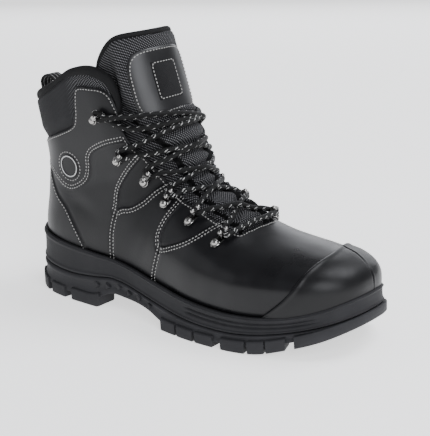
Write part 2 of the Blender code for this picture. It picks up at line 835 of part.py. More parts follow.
def build_pull_loop(finish):
    turn = np.linspace(0, PULL_LOOP["turn"][-1], PULL_STEPS + 1)
    path = np.stack([curve(PULL_LOOP, "x", turn), 0 * turn, curve(PULL_LOOP, "z", turn)], -1)
    ahead = np.gradient(path, axis=0)
    side = np.cross(ahead, (0, 1, 0))
    side = side / np.linalg.norm(side, axis=-1, keepdims=True) * PULL_THICKNESS / 2
    widths = np.array([-0.5, 0.5]) * PULL_WIDTH
    outer = np.stack([path + side + (0, w, 0) for w in widths])
    inner = np.stack([path - side + (0, w, 0) for w in widths])
    add("pull_loop", slab("pull_loop", outer, inner), finish)


def main():
    for old in list(bpy.data.objects):
        bpy.data.objects.remove(old)
    leather = material("black leather", (0.02, 0.02, 0.022), 0.45)
    rubber = material("black rubber", (0.015, 0.015, 0.017), 0.7)
    textile = material("black textile", (0.02, 0.02, 0.02), 0.9)
    steel = material("bright steel", (0.75, 0.75, 0.74), 0.25, 1.0)
    build_upper(leather)
    build_midsole(rubber)
    build_outsole(rubber)
    build_bumper(rubber)
    build_insole(textile)
    build_tongue(textile)
    rows = [hardware_row(-1), hardware_row(1)]
    for side, row in zip(("lateral", "medial"), rows):
        seats = list(zip(*row))
        for k, axes in enumerate(seats[:-1]):
            build_eyelet(f"eyelet_{side}_{k + 1}", *axes, steel)
        build_hook(f"hook_{side}", *seats[-1], steel)
    build_laces(rows, textile)
    build_pull_loop(textile)


main()
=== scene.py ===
"""Looks of the lace-up safety boot: leather panels, padded textile, laces, hardware and sole.

Design frame, in millimetres: x runs from the back of the heel to the toe, y is negative on the
outer (lateral) side and positive on the inner (medial) side, and z is the height above the floor.
The outside of the upper is the zero of one field function, as in the part itself, and every
panel, seam, stitch and strand of lace is laid on that surface.
"""

import math

import bmesh
import bpy
import numpy as np
from mathutils import Matrix, Vector


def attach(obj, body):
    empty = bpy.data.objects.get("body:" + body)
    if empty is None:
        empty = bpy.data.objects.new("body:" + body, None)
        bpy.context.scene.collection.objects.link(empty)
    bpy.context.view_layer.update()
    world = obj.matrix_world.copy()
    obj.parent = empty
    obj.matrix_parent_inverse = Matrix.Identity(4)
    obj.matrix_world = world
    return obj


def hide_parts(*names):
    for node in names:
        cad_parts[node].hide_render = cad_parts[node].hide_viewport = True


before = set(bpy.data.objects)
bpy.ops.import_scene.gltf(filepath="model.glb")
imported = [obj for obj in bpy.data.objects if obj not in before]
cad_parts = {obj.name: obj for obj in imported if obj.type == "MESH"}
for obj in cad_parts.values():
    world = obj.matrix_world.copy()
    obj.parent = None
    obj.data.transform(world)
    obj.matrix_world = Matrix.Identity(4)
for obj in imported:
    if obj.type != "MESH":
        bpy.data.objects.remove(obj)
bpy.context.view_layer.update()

MM = 0.001
ORIGIN = np.array([149.7, 0.2, 0.0])
SIDES = {"lateral": -1, "medial": 1}


def table(columns, *rows):
    """A short table of sections: column names, then one row for each section."""
    return dict(zip(columns.split(), np.array(rows, float).T))


# The last: the same driving sizes as the solids
TOE_TIP = 296.0
TOE_START = 214.0
TOE_TOP_START = 236.0
TOE_LATERAL_POWER = 2.25
TOE_MEDIAL_POWER = 2.7
TOE_TOP_POWER = 2.5
FOOT_BACK = 18.0
FOOT_BACK_START = 60.0
WIDEST_HEIGHT = 44.0
TUCK = 3.0
TUCK_HEIGHT = 22.0
BLEND = 18.0
HEEL_ROUND = 40.0
INSTEP_ROUND = 52.0
SHAFT_POWER = 2.15
FIELD_SCALE = 45.0
TUCK_LIMIT = 1.5
LEAST_HALF = 0.2
TIP_LIMIT = 0.9999
SLOPE_STEP = 0.2
SETTLE_NEAR = 4
SETTLE_FAR = 12
CAST_REACH = 130.0
CAST_STEPS = 66
CAST_HALVINGS = 24
FOOT = table(
    "x lateral medial centre top power",
    (20, 30, 30, 0, 70, 2.0),
    (60, 33, 32, 0, 92, 2.0),
    (105, 37, 33, 0, 108, 2.0),
    (150, 45, 38, 0, 104, 2.0),
    (190, 51, 46, 0, 85, 2.1),
    (222, 51.5, 50, 1, 71.5, 2.25),
    (255, 50, 50, 4, 65.5, 2.4),
    (296, 49, 50, 7, 65, 2.4),
)
SHAFT = table(
    "z back front lateral medial",
    (30, 9, 128, 34, 34),
    (52, 6, 132, 35.5, 35),
    (80, 10, 145, 34.5, 34),
    (108, 13, 155, 35, 36),
    (135, 11, 147, 38.5, 38.5),
    (160, 8, 138, 41, 41),
    (205, 6, 123, 43, 43),
)


def curve(rows, column, at):
    """One column of a table as a smooth curve along the table's first column."""
    keys = rows[next(iter(rows))]
    values = rows[column]
    slopes = np.gradient(values, keys)
    at = np.clip(at, keys[0], keys[-1])
    i = np.clip(np.searchsorted(keys, at) - 1, 0, len(keys) - 2)
    span = keys[i + 1] - keys[i]
    t = (at - keys[i]) / span
    start = (2 * t**3 - 3 * t**2 + 1) * values[i] + (t**3 - 2 * t**2 + t) * span * slopes[i]
    end = (3 * t**2 - 2 * t**3) * values[i + 1] + (t**3 - t**2) * span * slopes[i + 1]
    return start + end


def rounded(x, start, tip, power):
    """Share of the full size left at x on the way from start to a round tip."""
    share = np.clip((x - start) / (tip - start), 0, TIP_LIMIT)
    return (1 - share**power) ** (1 / power)


def tucked(z):
    """How far the sides draw in below the widest height."""
    return TUCK * np.clip((WIDEST_HEIGHT - z) / TUCK_HEIGHT, 0, TUCK_LIMIT) ** 2


def foot_field(x, y, z):
    """Negative inside the foot, zero on its surface: arched sections along x."""
    back = rounded(-x, -FOOT_BACK_START, -FOOT_BACK, 2)
    lateral = curve(FOOT, "lateral", x) * rounded(x, TOE_START, TOE_TIP, TOE_LATERAL_POWER)
    medial = curve(FOOT, "medial", x) * rounded(x, TOE_START, TOE_TIP, TOE_MEDIAL_POWER)
    side = y - curve(FOOT, "centre", x)
    half = np.maximum(np.where(side < 0, lateral, medial) * back - tucked(z), LEAST_HALF)
    rise = (curve(FOOT, "top", x) - WIDEST_HEIGHT) * rounded(x, TOE_TOP_START, TOE_TIP, TOE_TOP_POWER)
    power = curve(FOOT, "power", x)
    above = np.maximum(z - WIDEST_HEIGHT, 0) / np.maximum(rise * back, LEAST_HALF)
    reach = ((np.abs(side) / half) ** power + above**power) ** (1 / power)
    beyond = np.maximum(x - TOE_TIP, FOOT_BACK - x)
    return np.maximum((reach - 1) * FIELD_SCALE, beyond)


def shaft_field(x, y, z):
    """Negative inside the shaft, zero on its surface: round-ended level sections along z."""
    back = curve(SHAFT, "back", z) + HEEL_ROUND
    front = curve(SHAFT, "front", z) - INSTEP_ROUND
    half = np.where(y < 0, curve(SHAFT, "lateral", z), curve(SHAFT, "medial", z))
    end = np.maximum(back - x, 0) / HEEL_ROUND + np.maximum(x - front, 0) / INSTEP_ROUND
    reach = (end**SHAFT_POWER + (np.abs(y) / (half - tucked(z))) ** SHAFT_POWER) ** (1 / SHAFT_POWER)
    return (reach - 1) * FIELD_SCALE


def last_field(points):
    """The whole outside of the upper: foot and shaft run together with a soft blend."""
    x, y, z = np.moveaxis(np.asarray(points, float), -1, 0)
    foot = foot_field(x, y, z)
    shaft = shaft_field(x, y, z)
    near = np.maximum(BLEND - np.abs(foot - shaft), 0)
    return np.minimum(foot, shaft) - near**2 / (4 * BLEND)


def gradient(points):
    """Slope of the field at points, per millimetre."""
    moves = np.eye(3) * SLOPE_STEP
    slopes = [last_field(points + move) - last_field(points - move) for move in moves]
    return np.stack(slopes, -1) / (2 * SLOPE_STEP)


def unit(vectors):
    """Vectors brought to length one."""
    return vectors / np.linalg.norm(vectors, axis=-1, keepdims=True)


def square_to(out, vectors):
    """Unit vectors turned square to the out directions."""
    return unit(vectors - out * np.sum(vectors * out, -1, keepdims=True))


def spokes(sides, ahead, aside):
    """Directions from a circle's middle to the points round it."""
    turn = np.arange(sides) * 2 * np.pi / sides
    return np.cos(turn)[:, None] * ahead + np.sin(turn)[:, None] * aside


def upright(x, z):
    """Points in the boot's middle plane."""
    return np.stack([x, 0 * x, z], -1)


def run_length(path):
    """Length along a path at each of its points."""
    return np.concatenate([[0], np.cumsum(np.linalg.norm(np.diff(path, axis=0), axis=-1))])


def facing(vectors, way):
    """Vectors turned round where they point against a way."""
    return vectors * np.sign(np.sum(vectors * way, -1, keepdims=True))


def normals(points):
    """Unit vectors that point out of the last."""
    return unit(gradient(points))


def settle(points, steps=SETTLE_NEAR):
    """Points near the last, brought onto its surface."""
    for _ in range(steps):
        slope = gradient(points)
        size = np.sum(slope**2, -1, keepdims=True)
        points = points - slope * last_field(points)[..., None] / size
    return points


def cast(starts, directions):
    """Where rays that start inside first leave the last."""
    steps = np.linspace(0, CAST_REACH, CAST_STEPS)
    samples = starts[:, None] + directions[:, None] * steps[:, None]
    first = np.maximum(np.argmax(last_field(samples) > 0, axis=1), 1)
    low, high = steps[first - 1], steps[first]
    for _ in range(CAST_HALVINGS):
        middle = (low + high) / 2
        inside = last_field(starts + directions * middle[:, None]) < 0
        low = np.where(inside, middle, low)
        high = np.where(inside, high, middle)
    return starts + directions * low[:, None]


# Stations round the boot, from the toe (share 0) to the back of the heel (share 1)
TOE_SHARE = 0.3
HEEL_SHARE = 0.24
TOE_PIVOT = 236.0
HEEL_PIVOT = 47.0
LOOP_ROUNDS = 3
SPLINE_POINTS = 16


def stance(share):
    """Spine x and bearing of a station: 0 is forward, a quarter turn outward, a half turn back."""
    toe = np.clip(share / TOE_SHARE, 0, 1)
    heel = np.clip((share - 1 + HEEL_SHARE) / HEEL_SHARE, 0, 1)
    middle = np.clip((share - TOE_SHARE) / (1 - TOE_SHARE - HEEL_SHARE), 0, 1)
    return TOE_PIVOT + (HEEL_PIVOT - TOE_PIVOT) * middle, np.radians(90 * (toe + heel))


def around(half):
    """Shares and sides (-1 lateral, 1 medial) of the closed loop of stations, from the heel round."""
    out = np.linspace(1, 0, half + 1)
    back = out[-2:0:-1]
    return np.concatenate([out, back]), np.concatenate([-np.ones(len(out)), np.ones(len(back))])


def ring(height, shares, sides):
    """A loop round the last at a height that follows x, and its level outward directions."""
    spine, bearing = stance(shares)
    directions = np.stack([np.cos(bearing), sides * np.sin(bearing), 0 * bearing], -1)
    x = spine
    for _ in range(LOOP_ROUNDS):
        points = cast(upright(spine, height(x)), directions)
        x = points[:, 0]
    return points, unit(normals(points) * (1, 1, 0))


def ramp(value, limits):
    """Rises from 0 to 1 between two limits, with soft ends."""
    share = np.clip((value - limits[0]) / (limits[1] - limits[0]), 0, 1)
    return share**2 * (3 - 2 * share)


def ridge(distance, width):
    """A soft ridge, 1 in the middle and near 0 beyond its width."""
    return np.exp(-((distance / width) ** 2))


def eased(grid, passes, closed=False):
    """A grid smoothed along its columns; the ends of an open grid stay where they are."""
    for _ in range(passes):
        if closed:
            grid = (np.roll(grid, 1, axis=-2) + 2 * grid + np.roll(grid, -1, axis=-2)) / 4
        else:
            inner = (grid[..., :-2, :] + 2 * grid[..., 1:-1, :] + grid[..., 2:, :]) / 4
            grid = np.concatenate([grid[..., :1, :], inner, grid[..., -1:, :]], axis=-2)
    return grid


def spline(controls, spacing):
    """A smooth path through control points, resampled at an even spacing."""
    p = np.asarray(controls, float)
    p = np.concatenate([[2 * p[0] - p[1]], p, [2 * p[-1] - p[-2]]])
    t = np.linspace(0, 1, SPLINE_POINTS, endpoint=False)[:, None]
    runs = []
    for a, b, c, d in zip(p[:-3], p[1:-2], p[2:-1], p[3:]):
        runs.append(b + t * (c - a) / 2 + t**2 * (a - 2.5 * b + 2 * c - d / 2)
                    + t**3 * (1.5 * (b - c) + (d - a) / 2))
    path = np.concatenate([*runs, p[-2:-1]])
    return resample(path, spacing)


def resample(path, spacing):
    """A path with its points at an even spacing."""
    length = run_length(path)
    count = max(int(round(length[-1] / spacing)), 2)
    at = np.linspace(0, length[-1], count + 1)
    return np.stack([np.interp(at, length, path[:, k]) for k in range(path.shape[1])], -1)


# The sole's heights, a row for each section: rim of the cup, line between midsole and outsole, tread
SOLE = table(
    "x rim split root tread",
    (0, 50, 25.5, 13, 7),
    (14, 48.5, 24.5, 8, 1.5),
    (30, 46.5, 23, 6, 0),
    (62, 43.5, 22, 6, 0),
    (84, 42, 24, 7, 0),
    (100, 41, 26, 14, 7),
    (115, 39, 24.7, 14, 8),
    (143, 34.8, 20.3, 11.5, 6),
    (158, 32.2, 17.6, 6, 0),
    (172, 30, 15.5, 5, 0),
    (222, 26, 13, 5, 0),
    (245, 26.5, 15, 7, 1.5),
    (262, 28.5, 18, 11, 6),
    (285, 35, 23.5, 18.5, 13.5),
    (304, 43, 29.5, 26, 22.5),
)
CUP_DEPTH = 7.0
GAP = 0.3
CUP_GAP = 0.4
WALL = 2.6
RIM_MARGIN = 3.4
SPLIT_MARGIN = 4.2
ROOT_MARGIN = 5.4
LUG_MARGIN = 5.8
LUG_LENGTH = 17.0


def rim_height(x):
    return curve(SOLE, "rim", x)


def floor_height(x):
    return rim_height(x) - CUP_DEPTH


def split_height(x):
    return curve(SOLE, "split", x)


def root_height(x):
    return curve(SOLE, "root", x)


def tread_height(x):
    return np.maximum(curve(SOLE, "tread", x), 0)


# Gathering meshes
SHARP_ANGLE = 42.0
MERGE_DISTANCE = 0.000002


def weave_map(points, closed):
    """Distances along rows and columns in millimetres, so that a weave keeps its scale."""
    if closed:
        points = np.concatenate([points, points[:, :1]], axis=1)
    across = np.linalg.norm(np.diff(points, axis=1), axis=-1)
    along = np.linalg.norm(np.diff(points, axis=0), axis=-1)
    u = np.concatenate([np.zeros((len(points), 1)), np.cumsum(across, axis=1)], axis=1)
    v = np.concatenate([np.zeros((1, points.shape[1])), np.cumsum(along, axis=0)], axis=0)
    middle = u.shape[1] // 2
    if closed:
        u[:, middle:] -= u[:, -1:]
    else:
        u = u - u[:, middle:middle + 1]
    return np.stack([u, v], -1)


def added(name, data):
    """A new object in the scene."""
    made = bpy.data.objects.new(name, data)
    bpy.context.scene.collection.objects.link(made)
    return made


class Patchwork:
    """Grids of points gathered into one mesh, with a weave map and a finish for each face."""

    def __init__(self):
        self.points, self.quads, self.maps, self.slots, self.fields = [], [], [], [], []
        self.count = 0

    def grid(self, points, slot=0, weave=None, closed=False, field=None):
        """A grid of rows and columns of points; closed joins its last column to its first."""
        rows, columns = points.shape[:2]
        weave = weave_map(points, closed) if weave is None else weave
        spans = columns if closed else columns - 1
        i, j = np.meshgrid(np.arange(rows - 1), np.arange(spans), indexing="ij")
        corners = [(i, j), (i, j + 1), (i + 1, j + 1), (i + 1, j)]
        quads = np.stack([a * columns + b % columns for a, b in corners], -1).reshape(-1, 4)
        self.quads.append(quads + self.count)
        self.maps.append(np.stack([weave[a, b] for a, b in corners], -2).reshape(-1, 4, 2))
        self.slots.append(np.broadcast_to(slot, i.shape).ravel())
        self.points.append(points.reshape(-1, 3))
        field = np.zeros((rows, columns, 6)) if field is None else field
        self.fields.append(field.reshape(-1, 6))
        self.count += rows * columns

    def copies(self, template, frames):
        """A small closed grid, in its own axes, set at each frame of a place and three axes."""
        for place, ahead, aside, out in frames:
            self.grid(place + template @ np.array([ahead, aside, out]), closed=True)

    def piece(self, name, finishes, replaces=()):
        """The gathered mesh as a piece that rides on the boot."""
        points = (np.concatenate(self.points) - ORIGIN) * MM
        quads = np.concatenate(self.quads)
        mesh = bpy.data.meshes.new(name)
        mesh.from_pydata(points.tolist(), [], quads.tolist())
        layer = mesh.uv_layers.new(name="weave")
        layer.data.foreach_set("uv", np.concatenate(self.maps).astype(np.float32).ravel())
        mesh.polygons.foreach_set("material_index", np.concatenate(self.slots).astype(np.int32))
        fields = np.concatenate(self.fields)
        for name_of_field, values in (("panel", fields[:, :3]), ("edges", fields[:, 3:])):
            if values.any():
                made = mesh.attributes.new(name_of_field, "FLOAT_VECTOR", "POINT")
                made.data.foreach_set("vector", values.astype(np.float32).ravel())
        work = bmesh.new()
        work.from_mesh(mesh)
        bmesh.ops.remove_doubles(work, verts=work.verts, dist=MERGE_DISTANCE)
        bmesh.ops.recalc_face_normals(work, faces=work.faces)
        work.to_mesh(mesh)
        work.free()
        for finish in finishes:
            mesh.materials.append(finish)
        mesh.shade_smooth()
        mesh.set_sharp_from_angle(angle=math.radians(SHARP_ANGLE))
        made = added(name, mesh)
        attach(made, "root")
        if replaces:
            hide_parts(*replaces)
        return made


def edge_profile(distance, radius):
    """Share of a slab's thickness left near its round edge."""
    return np.sqrt(1 - (1 - np.clip(distance / radius, 0, 1)) ** 2)


def edge_distance(grid):
    """Distance of each point of a grid from the grid's nearest edge, along its rows and columns."""
    u, v = np.moveaxis(weave_map(grid, False), -1, 0)
    across = np.minimum(u - u[:, :1], u[:, -1:] - u)
    along = np.minimum(v, v[-1:] - v)
    return across, along


def pillow(work, outer, inner, radius, slot=0, inner_slot=None, weave=None):
    """A closed slab between two grids with round edges."""
    across, along = edge_distance(outer)
    share = (edge_profile(across, radius) * edge_profile(along, radius))[..., None]
    middle, half = (outer + inner) / 2, (outer - inner) / 2
    work.grid(middle + half * share, slot, weave)
    work.grid(middle - half * share, slot if inner_slot is None else inner_slot)


def tube(work, path, radius, sides, out, slot=0):
    """A closed tube along a path with round ends; radius may differ along it and round it."""
    ahead = unit(np.gradient(path, axis=0))
    across = unit(np.cross(ahead, out))
    up = np.cross(across, ahead)
    radius = np.broadcast_to(radius, (len(path), sides))[..., None]
    loops = path[:, None] + radius * spokes(sides, across[:, None], up[:, None])
    ends = [np.broadcast_to(p, (1, sides, 3)) for p in (path[0], path[-1])]
    if np.ndim(slot) == 2:
        slot = np.concatenate([slot[:1], slot, slot[-1:]])[: len(path) + 1]
    work.grid(np.concatenate([ends[0], loops, ends[1]]), slot, closed=True)


def turned(work, profile, sides, place, ahead, aside, out):
    """A solid of revolution about the out axis from radius and height pairs, closed at its ends."""
    spread = spokes(sides, ahead, aside)
    loops = [place + radius * spread + height * out for radius, height in profile]
    first = np.broadcast_to(place + profile[0][1] * out, loops[0].shape)
    last = np.broadcast_to(place + profile[-1][1] * out, loops[0].shape)
    work.grid(np.array([first, *loops, last]), closed=True)


# Finishes
class Finish:
    """A material with a Principled shader, and short calls that add nodes before it."""

    def __init__(self, name, colour, roughness, metallic=0.0, **sockets):
        self.material = bpy.data.materials.new(name)
        self.material.use_nodes = True
        self.nodes = self.material.node_tree.nodes
        self.links = self.material.node_tree.links
        self.shader = self.nodes["Principled BSDF"]
        self.feed(self.shader, "Base Color", (*colour, 1.0))
        self.feed(self.shader, "Roughness", roughness)
        self.feed(self.shader, "Metallic", metallic)
        for key, value in sockets.items():
            self.feed(self.shader, key.replace("_", " "), value)

    def feed(self, node, key, value):
        """A number, a colour or another node's output for an input given by its name or number."""
        socket = node.inputs[key]
        if isinstance(value, bpy.types.NodeSocket):
            self.links.new(value, socket)
        else:
            socket.default_value = value

    def node(self, kind, settings=None, **inputs):
        """A new node with its settings and inputs."""
        made = self.nodes.new("ShaderNode" + kind)
        for key, value in (settings or {}).items():
            setattr(made, key, value)
        for key, value in inputs.items():
            self.feed(made, key.replace("_", " "), value)
        return made

    def place(self):
        """Places on the object, in metres."""
        return self.node("TexCoord").outputs["Object"]

    def weave(self, turn=0.0):
        """The weave map in millimetres, turned by an angle in degrees."""
        coordinates = self.node("UVMap", {"uv_map": "weave"}).outputs["UV"]
        return self.node("Mapping", Vector=coordinates, Rotation=(0, 0, math.radians(turn))).outputs[0]

    def field(self, name):
        """A field that the mesh carries in millimetres."""
        return self.node("Attribute", {"attribute_name": name}).outputs["Vector"]

    def noise(self, scale, detail):
        """Soft random clouds or grain."""
        return self.node("TexNoise", Vector=self.place(), Scale=scale, Detail=detail).outputs["Fac"]

    def cells(self, scale):
        """Distance from the middles of random cells."""
        return self.node("TexVoronoi", Vector=self.place(), Scale=scale).outputs["Distance"]

    def wave(self, coordinates, period, direction):
        """Soft bands with a period in the map's own unit."""
        scale = math.pi / 10 / period
        settings = {"bands_direction": direction, "wave_profile": "SIN"}
        return self.node("TexWave", settings, Vector=coordinates, Scale=scale).outputs["Fac"]

    def math(self, operation, *values):
        """The result of one operation on numbers."""
        made = self.node("Math", {"operation": operation})
        for key, value in enumerate(values):
            self.feed(made, key, value)
        return made.outputs[0]

    def span(self, value, low, high, to_low, to_high):
        """A value brought from one pair of limits to another."""
        keys = dict(Value=value, From_Min=low, From_Max=high, To_Min=to_low, To_Max=to_high)
        return self.node("MapRange", **keys).outputs["Result"]

    def share(self, value, low, high):
        """0 below a low value, 1 above a high one."""
        return self.span(value, low, high, 0.0, 1.0)

    def blend(self, share, first, second):
        """A number between two others."""
        made = self.node("Mix", {"data_type": "FLOAT"})
        for key, value in zip((0, 2, 3), (share, first, second)):
            self.feed(made, key, value)
        return made.outputs[0]

    def tint(self, share, first, second):
        """A colour between two others."""
        made = self.node("Mix", {"data_type": "RGBA"})
        for key, value in zip((0, 6, 7), (share, first, second)):
            self.feed(made, key, (*value, 1.0) if isinstance(value, tuple) else value)
        return made.outputs[2]

    def colour(self, value):
        """The shader's colour."""
        self.feed(self.shader, "Base Color", value)

    def rough(self, value):
        """The shader's roughness."""
        self.feed(self.shader, "Roughness", value)

    def bump(self, height, distance):
        """Fine relief from a height."""
        made = self.node("Bump", Height=height, Distance=distance, Strength=1.0)
        self.feed(self.shader, "Normal", made.outputs["Normal"])


# Colours, shine, roughness, periods and bumps of the finishes
LEATHER = (0.0045, 0.0045, 0.0052)
LEATHER_WORN = (0.008, 0.008, 0.009)
CLOTH_DARK = (0.004, 0.004, 0.0045)
CLOTH_LIGHT = (0.19, 0.19, 0.2)
RIB_LIGHT = (0.03, 0.03, 0.032)
THREAD = (0.42, 0.415, 0.4)
METAL = (0.28, 0.275, 0.265)
METAL_BRIGHT = (0.42, 0.41, 0.395)
PLATE_METAL = (0.05, 0.05, 0.05)
PLATE_BRIGHT = (0.11, 0.108, 0.105)
SHINE = 0.25
PATCH_SHINE = 0.5
SOLE_SHINE = 0.1
HIDE_ROUGH = 0.4
HIDE_ROUGH_LIMITS = (0.36, 0.44)
PATCH_ROUGH_SPREAD = (-0.03, 0.05)
RUBBER_ROUGH_SPREAD = (-0.05, 0.06)
RUBBER_LIGHTER = 1.4
THREAD_ROUGH = 0.7
THREAD_DARKER = 0.55
BRAID_ROUGH = 0.6
CLOTH_ROUGH = 0.85
RIB_ROUGH = 0.8
VAMP_ROUGH = -0.1
LENS_ROUGH = 0.1
METAL_ROUGH = (0.13, 0.2)
MESH_PERIOD = 1.5
MESH_TURN = 45.0
RIB_PERIOD = 1.0
RIB_THREADS = 0.6
RIB_SHARE = 0.65
PORE_SHARE = 0.5
BRAID_PERIOD = 1.1
BRAID_TURN = 32.0
MESH_START = (-0.086, -0.074)
VAMP_GLOSS = (-0.012, 0.012)
PANEL_BUMP = {"cloth": -0.5, "lens": -0.55, "ankle": 0.35, "counter": 0.4}
BUMP_WIDTH = 0.3
GROOVE_BUMP = 0.5
GROOVE_EDGE = 0.8
HIDE_GRAIN = (0.06, 0.03)
CLOTH_WEAVE = (0.2, 0.4)
KNOT_BUMP = 0.4 * MM
RIB_BUMP = 0.25 * MM
THREAD_BUMP = 0.2 * MM
BRAID_BUMP = 0.3 * MM

# Scales of the finishes' noise, and the limits between which its values are spread
PORES = 1500.0
PEBBLE = 700.0
RUBBER_GRAIN = 2600.0
TWIST = 2500.0
HIDE_CLOUDS = 45.0
RUBBER_CLOUDS = 60.0
METAL_CLOUDS = 120.0
CLOUD_LIMITS = (0.3, 0.7)
WORN_LIMITS = (0.35, 0.7)
RUBBER_LIMITS = (0.3, 0.75)
TWIST_LIMITS = (0.35, 0.65)
KNOT_LIMITS = (0.3, 0.85)


def mixed(finish, first, first_share, second):
    """Two heights added, each by its share."""
    first = finish.math("MULTIPLY", first, first_share)
    return finish.math("ADD", first, finish.math("MULTIPLY", second, 1 - first_share))


def leather_grain(finish):
    """Height of fine smooth leather: small pores over a soft pebble."""
    return mixed(finish, finish.cells(PORES), PORE_SHARE, finish.noise(PEBBLE, 2.0))


def ribs(finish, period):
    """Height of a ribbed weave: fine bars across soft ribs."""
    bars = finish.wave(finish.weave(), period, "Y")
    threads = finish.wave(finish.weave(), period * RIB_THREADS, "X")
    return mixed(finish, bars, RIB_SHARE, threads)


def dots(finish, period, turn=MESH_TURN):
    """Height of an open mesh: round knots in slanting rows."""
    way = finish.weave(turn)
    return finish.math("MULTIPLY", finish.wave(way, period, "X"), finish.wave(way, period, "Y"))


def upper_finish():
    """Leather with textile where the panel field says so, glossier over the vamp."""
    made = Finish("upper leather and textile", LEATHER, HIDE_ROUGH, Specular_IOR_Level=SHINE)
    panel = made.node("SeparateXYZ", Vector=made.field("panel")).outputs
    edges = made.node("SeparateXYZ", Vector=made.field("edges")).outputs
    signed = {"cloth": panel["X"], "lens": panel["Y"], "counter": panel["Z"], "ankle": edges["X"]}
    on = {name: made.share(value, -BUMP_WIDTH, BUMP_WIDTH) for name, value in signed.items()}
    x = made.node("SeparateXYZ", Vector=made.place()).outputs["X"]
    gloss = made.share(x, *VAMP_GLOSS)
    open_mesh = made.share(x, *MESH_START)
    clouds = made.noise(HIDE_CLOUDS, 2.0)
    rib, knots = ribs(made, RIB_PERIOD), dots(made, MESH_PERIOD)
    hide = made.tint(made.share(clouds, *WORN_LIMITS), LEATHER, LEATHER_WORN)
    ribbed = made.tint(rib, CLOTH_DARK, RIB_LIGHT)
    knotted = made.tint(made.share(knots, *KNOT_LIMITS), CLOTH_DARK, CLOTH_LIGHT)
    made.colour(made.tint(on["cloth"], hide, made.tint(open_mesh, ribbed, knotted)))
    rough = made.span(clouds, *CLOUD_LIMITS, *HIDE_ROUGH_LIMITS)
    rough = made.math("MULTIPLY_ADD", gloss, VAMP_ROUGH, rough)
    rough = made.math("MULTIPLY_ADD", on["lens"], LENS_ROUGH, rough)
    made.rough(made.blend(on["cloth"], rough, CLOTH_ROUGH))
    grain = made.math("MULTIPLY", leather_grain(made), made.span(gloss, 0.0, 1.0, *HIDE_GRAIN))
    weave = made.blend(open_mesh, rib, knots)
    weave = made.math("MULTIPLY", weave, made.span(open_mesh, 0.0, 1.0, *CLOTH_WEAVE))
    height = made.blend(on["cloth"], grain, weave)
    for name, rise in PANEL_BUMP.items():
        height = made.math("MULTIPLY_ADD", on[name], rise, height)
    groove = made.span(edges["Y"], 0.0, GROOVE_EDGE, -GROOVE_BUMP, 0.0)
    made.bump(made.math("ADD", height, groove), MM)
    return made.material


def leather_finish(name, roughness, grain_share):
    """Smooth leather with fine pores."""
    made = Finish(name, LEATHER, roughness, Specular_IOR_Level=PATCH_SHINE)
    clouds = made.noise(HIDE_CLOUDS, 2.0)
    made.colour(made.tint(made.share(clouds, *WORN_LIMITS), LEATHER, LEATHER_WORN))
    made.rough(made.span(clouds, *CLOUD_LIMITS, *(roughness + change for change in PATCH_ROUGH_SPREAD)))
    made.bump(made.math("MULTIPLY", leather_grain(made), grain_share), MM)
    return made.material


def mesh_finish(name, period, light=CLOTH_LIGHT):
    """Open mesh with knots lighter than its ground."""
    made = Finish(name, CLOTH_DARK, CLOTH_ROUGH, Specular_IOR_Level=SHINE)
    knots = dots(made, period)
    made.colour(made.tint(made.share(knots, *KNOT_LIMITS), CLOTH_DARK, light))
    made.bump(knots, KNOT_BUMP)
    return made.material


def ribbed_finish(name, period, light):
    """Ribbed cloth or tape."""
    made = Finish(name, CLOTH_DARK, RIB_ROUGH, Specular_IOR_Level=SHINE)
    rib = ribs(made, period)
    made.colour(made.tint(rib, CLOTH_DARK, light))
    made.bump(rib, RIB_BUMP)
    return made.material


def rubber_finish(name, colour, roughness, grain, shine=SHINE):
    """Moulded rubber or foam, a little cloudy."""
    made = Finish(name, colour, roughness, Specular_IOR_Level=shine)
    clouds = made.noise(RUBBER_CLOUDS, 3.0)
    lighter = tuple(RUBBER_LIGHTER * c for c in colour)
    made.colour(made.tint(made.share(clouds, *RUBBER_LIMITS), colour, lighter))
    made.rough(made.span(clouds, *CLOUD_LIMITS, *(roughness + change for change in RUBBER_ROUGH_SPREAD)))
    made.bump(made.noise(RUBBER_GRAIN, 2.0), grain)
    return made.material


def thread_finish(name, colour):
    """Twisted thread."""
    made = Finish(name, colour, THREAD_ROUGH)
    twist = made.noise(TWIST, 1.0)
    darker = tuple(THREAD_DARKER * c for c in colour)
    made.colour(made.tint(made.share(twist, *TWIST_LIMITS), darker, colour))
    made.bump(twist, THREAD_BUMP)
    return made.material


def braid_finish(name, colour, light):
    """The braid of a round lace."""
    made = Finish(name, colour, BRAID_ROUGH, Specular_IOR_Level=SHINE)
    strands = dots(made, BRAID_PERIOD, BRAID_TURN)
    made.colour(made.tint(strands, colour, light))
    made.bump(strands, BRAID_BUMP)
    return made.material


def metal_finish(name, dark, bright):
    """Plated metal, a little cloudy."""
    made = Finish(name, dark, METAL_ROUGH[0], 1.0)
    clouds = made.noise(METAL_CLOUDS, 2.0)
    made.colour(made.tint(made.share(clouds, *CLOUD_LIMITS), dark, bright))
    made.rough(made.span(clouds, *CLOUD_LIMITS, *METAL_ROUGH))
    return made.material


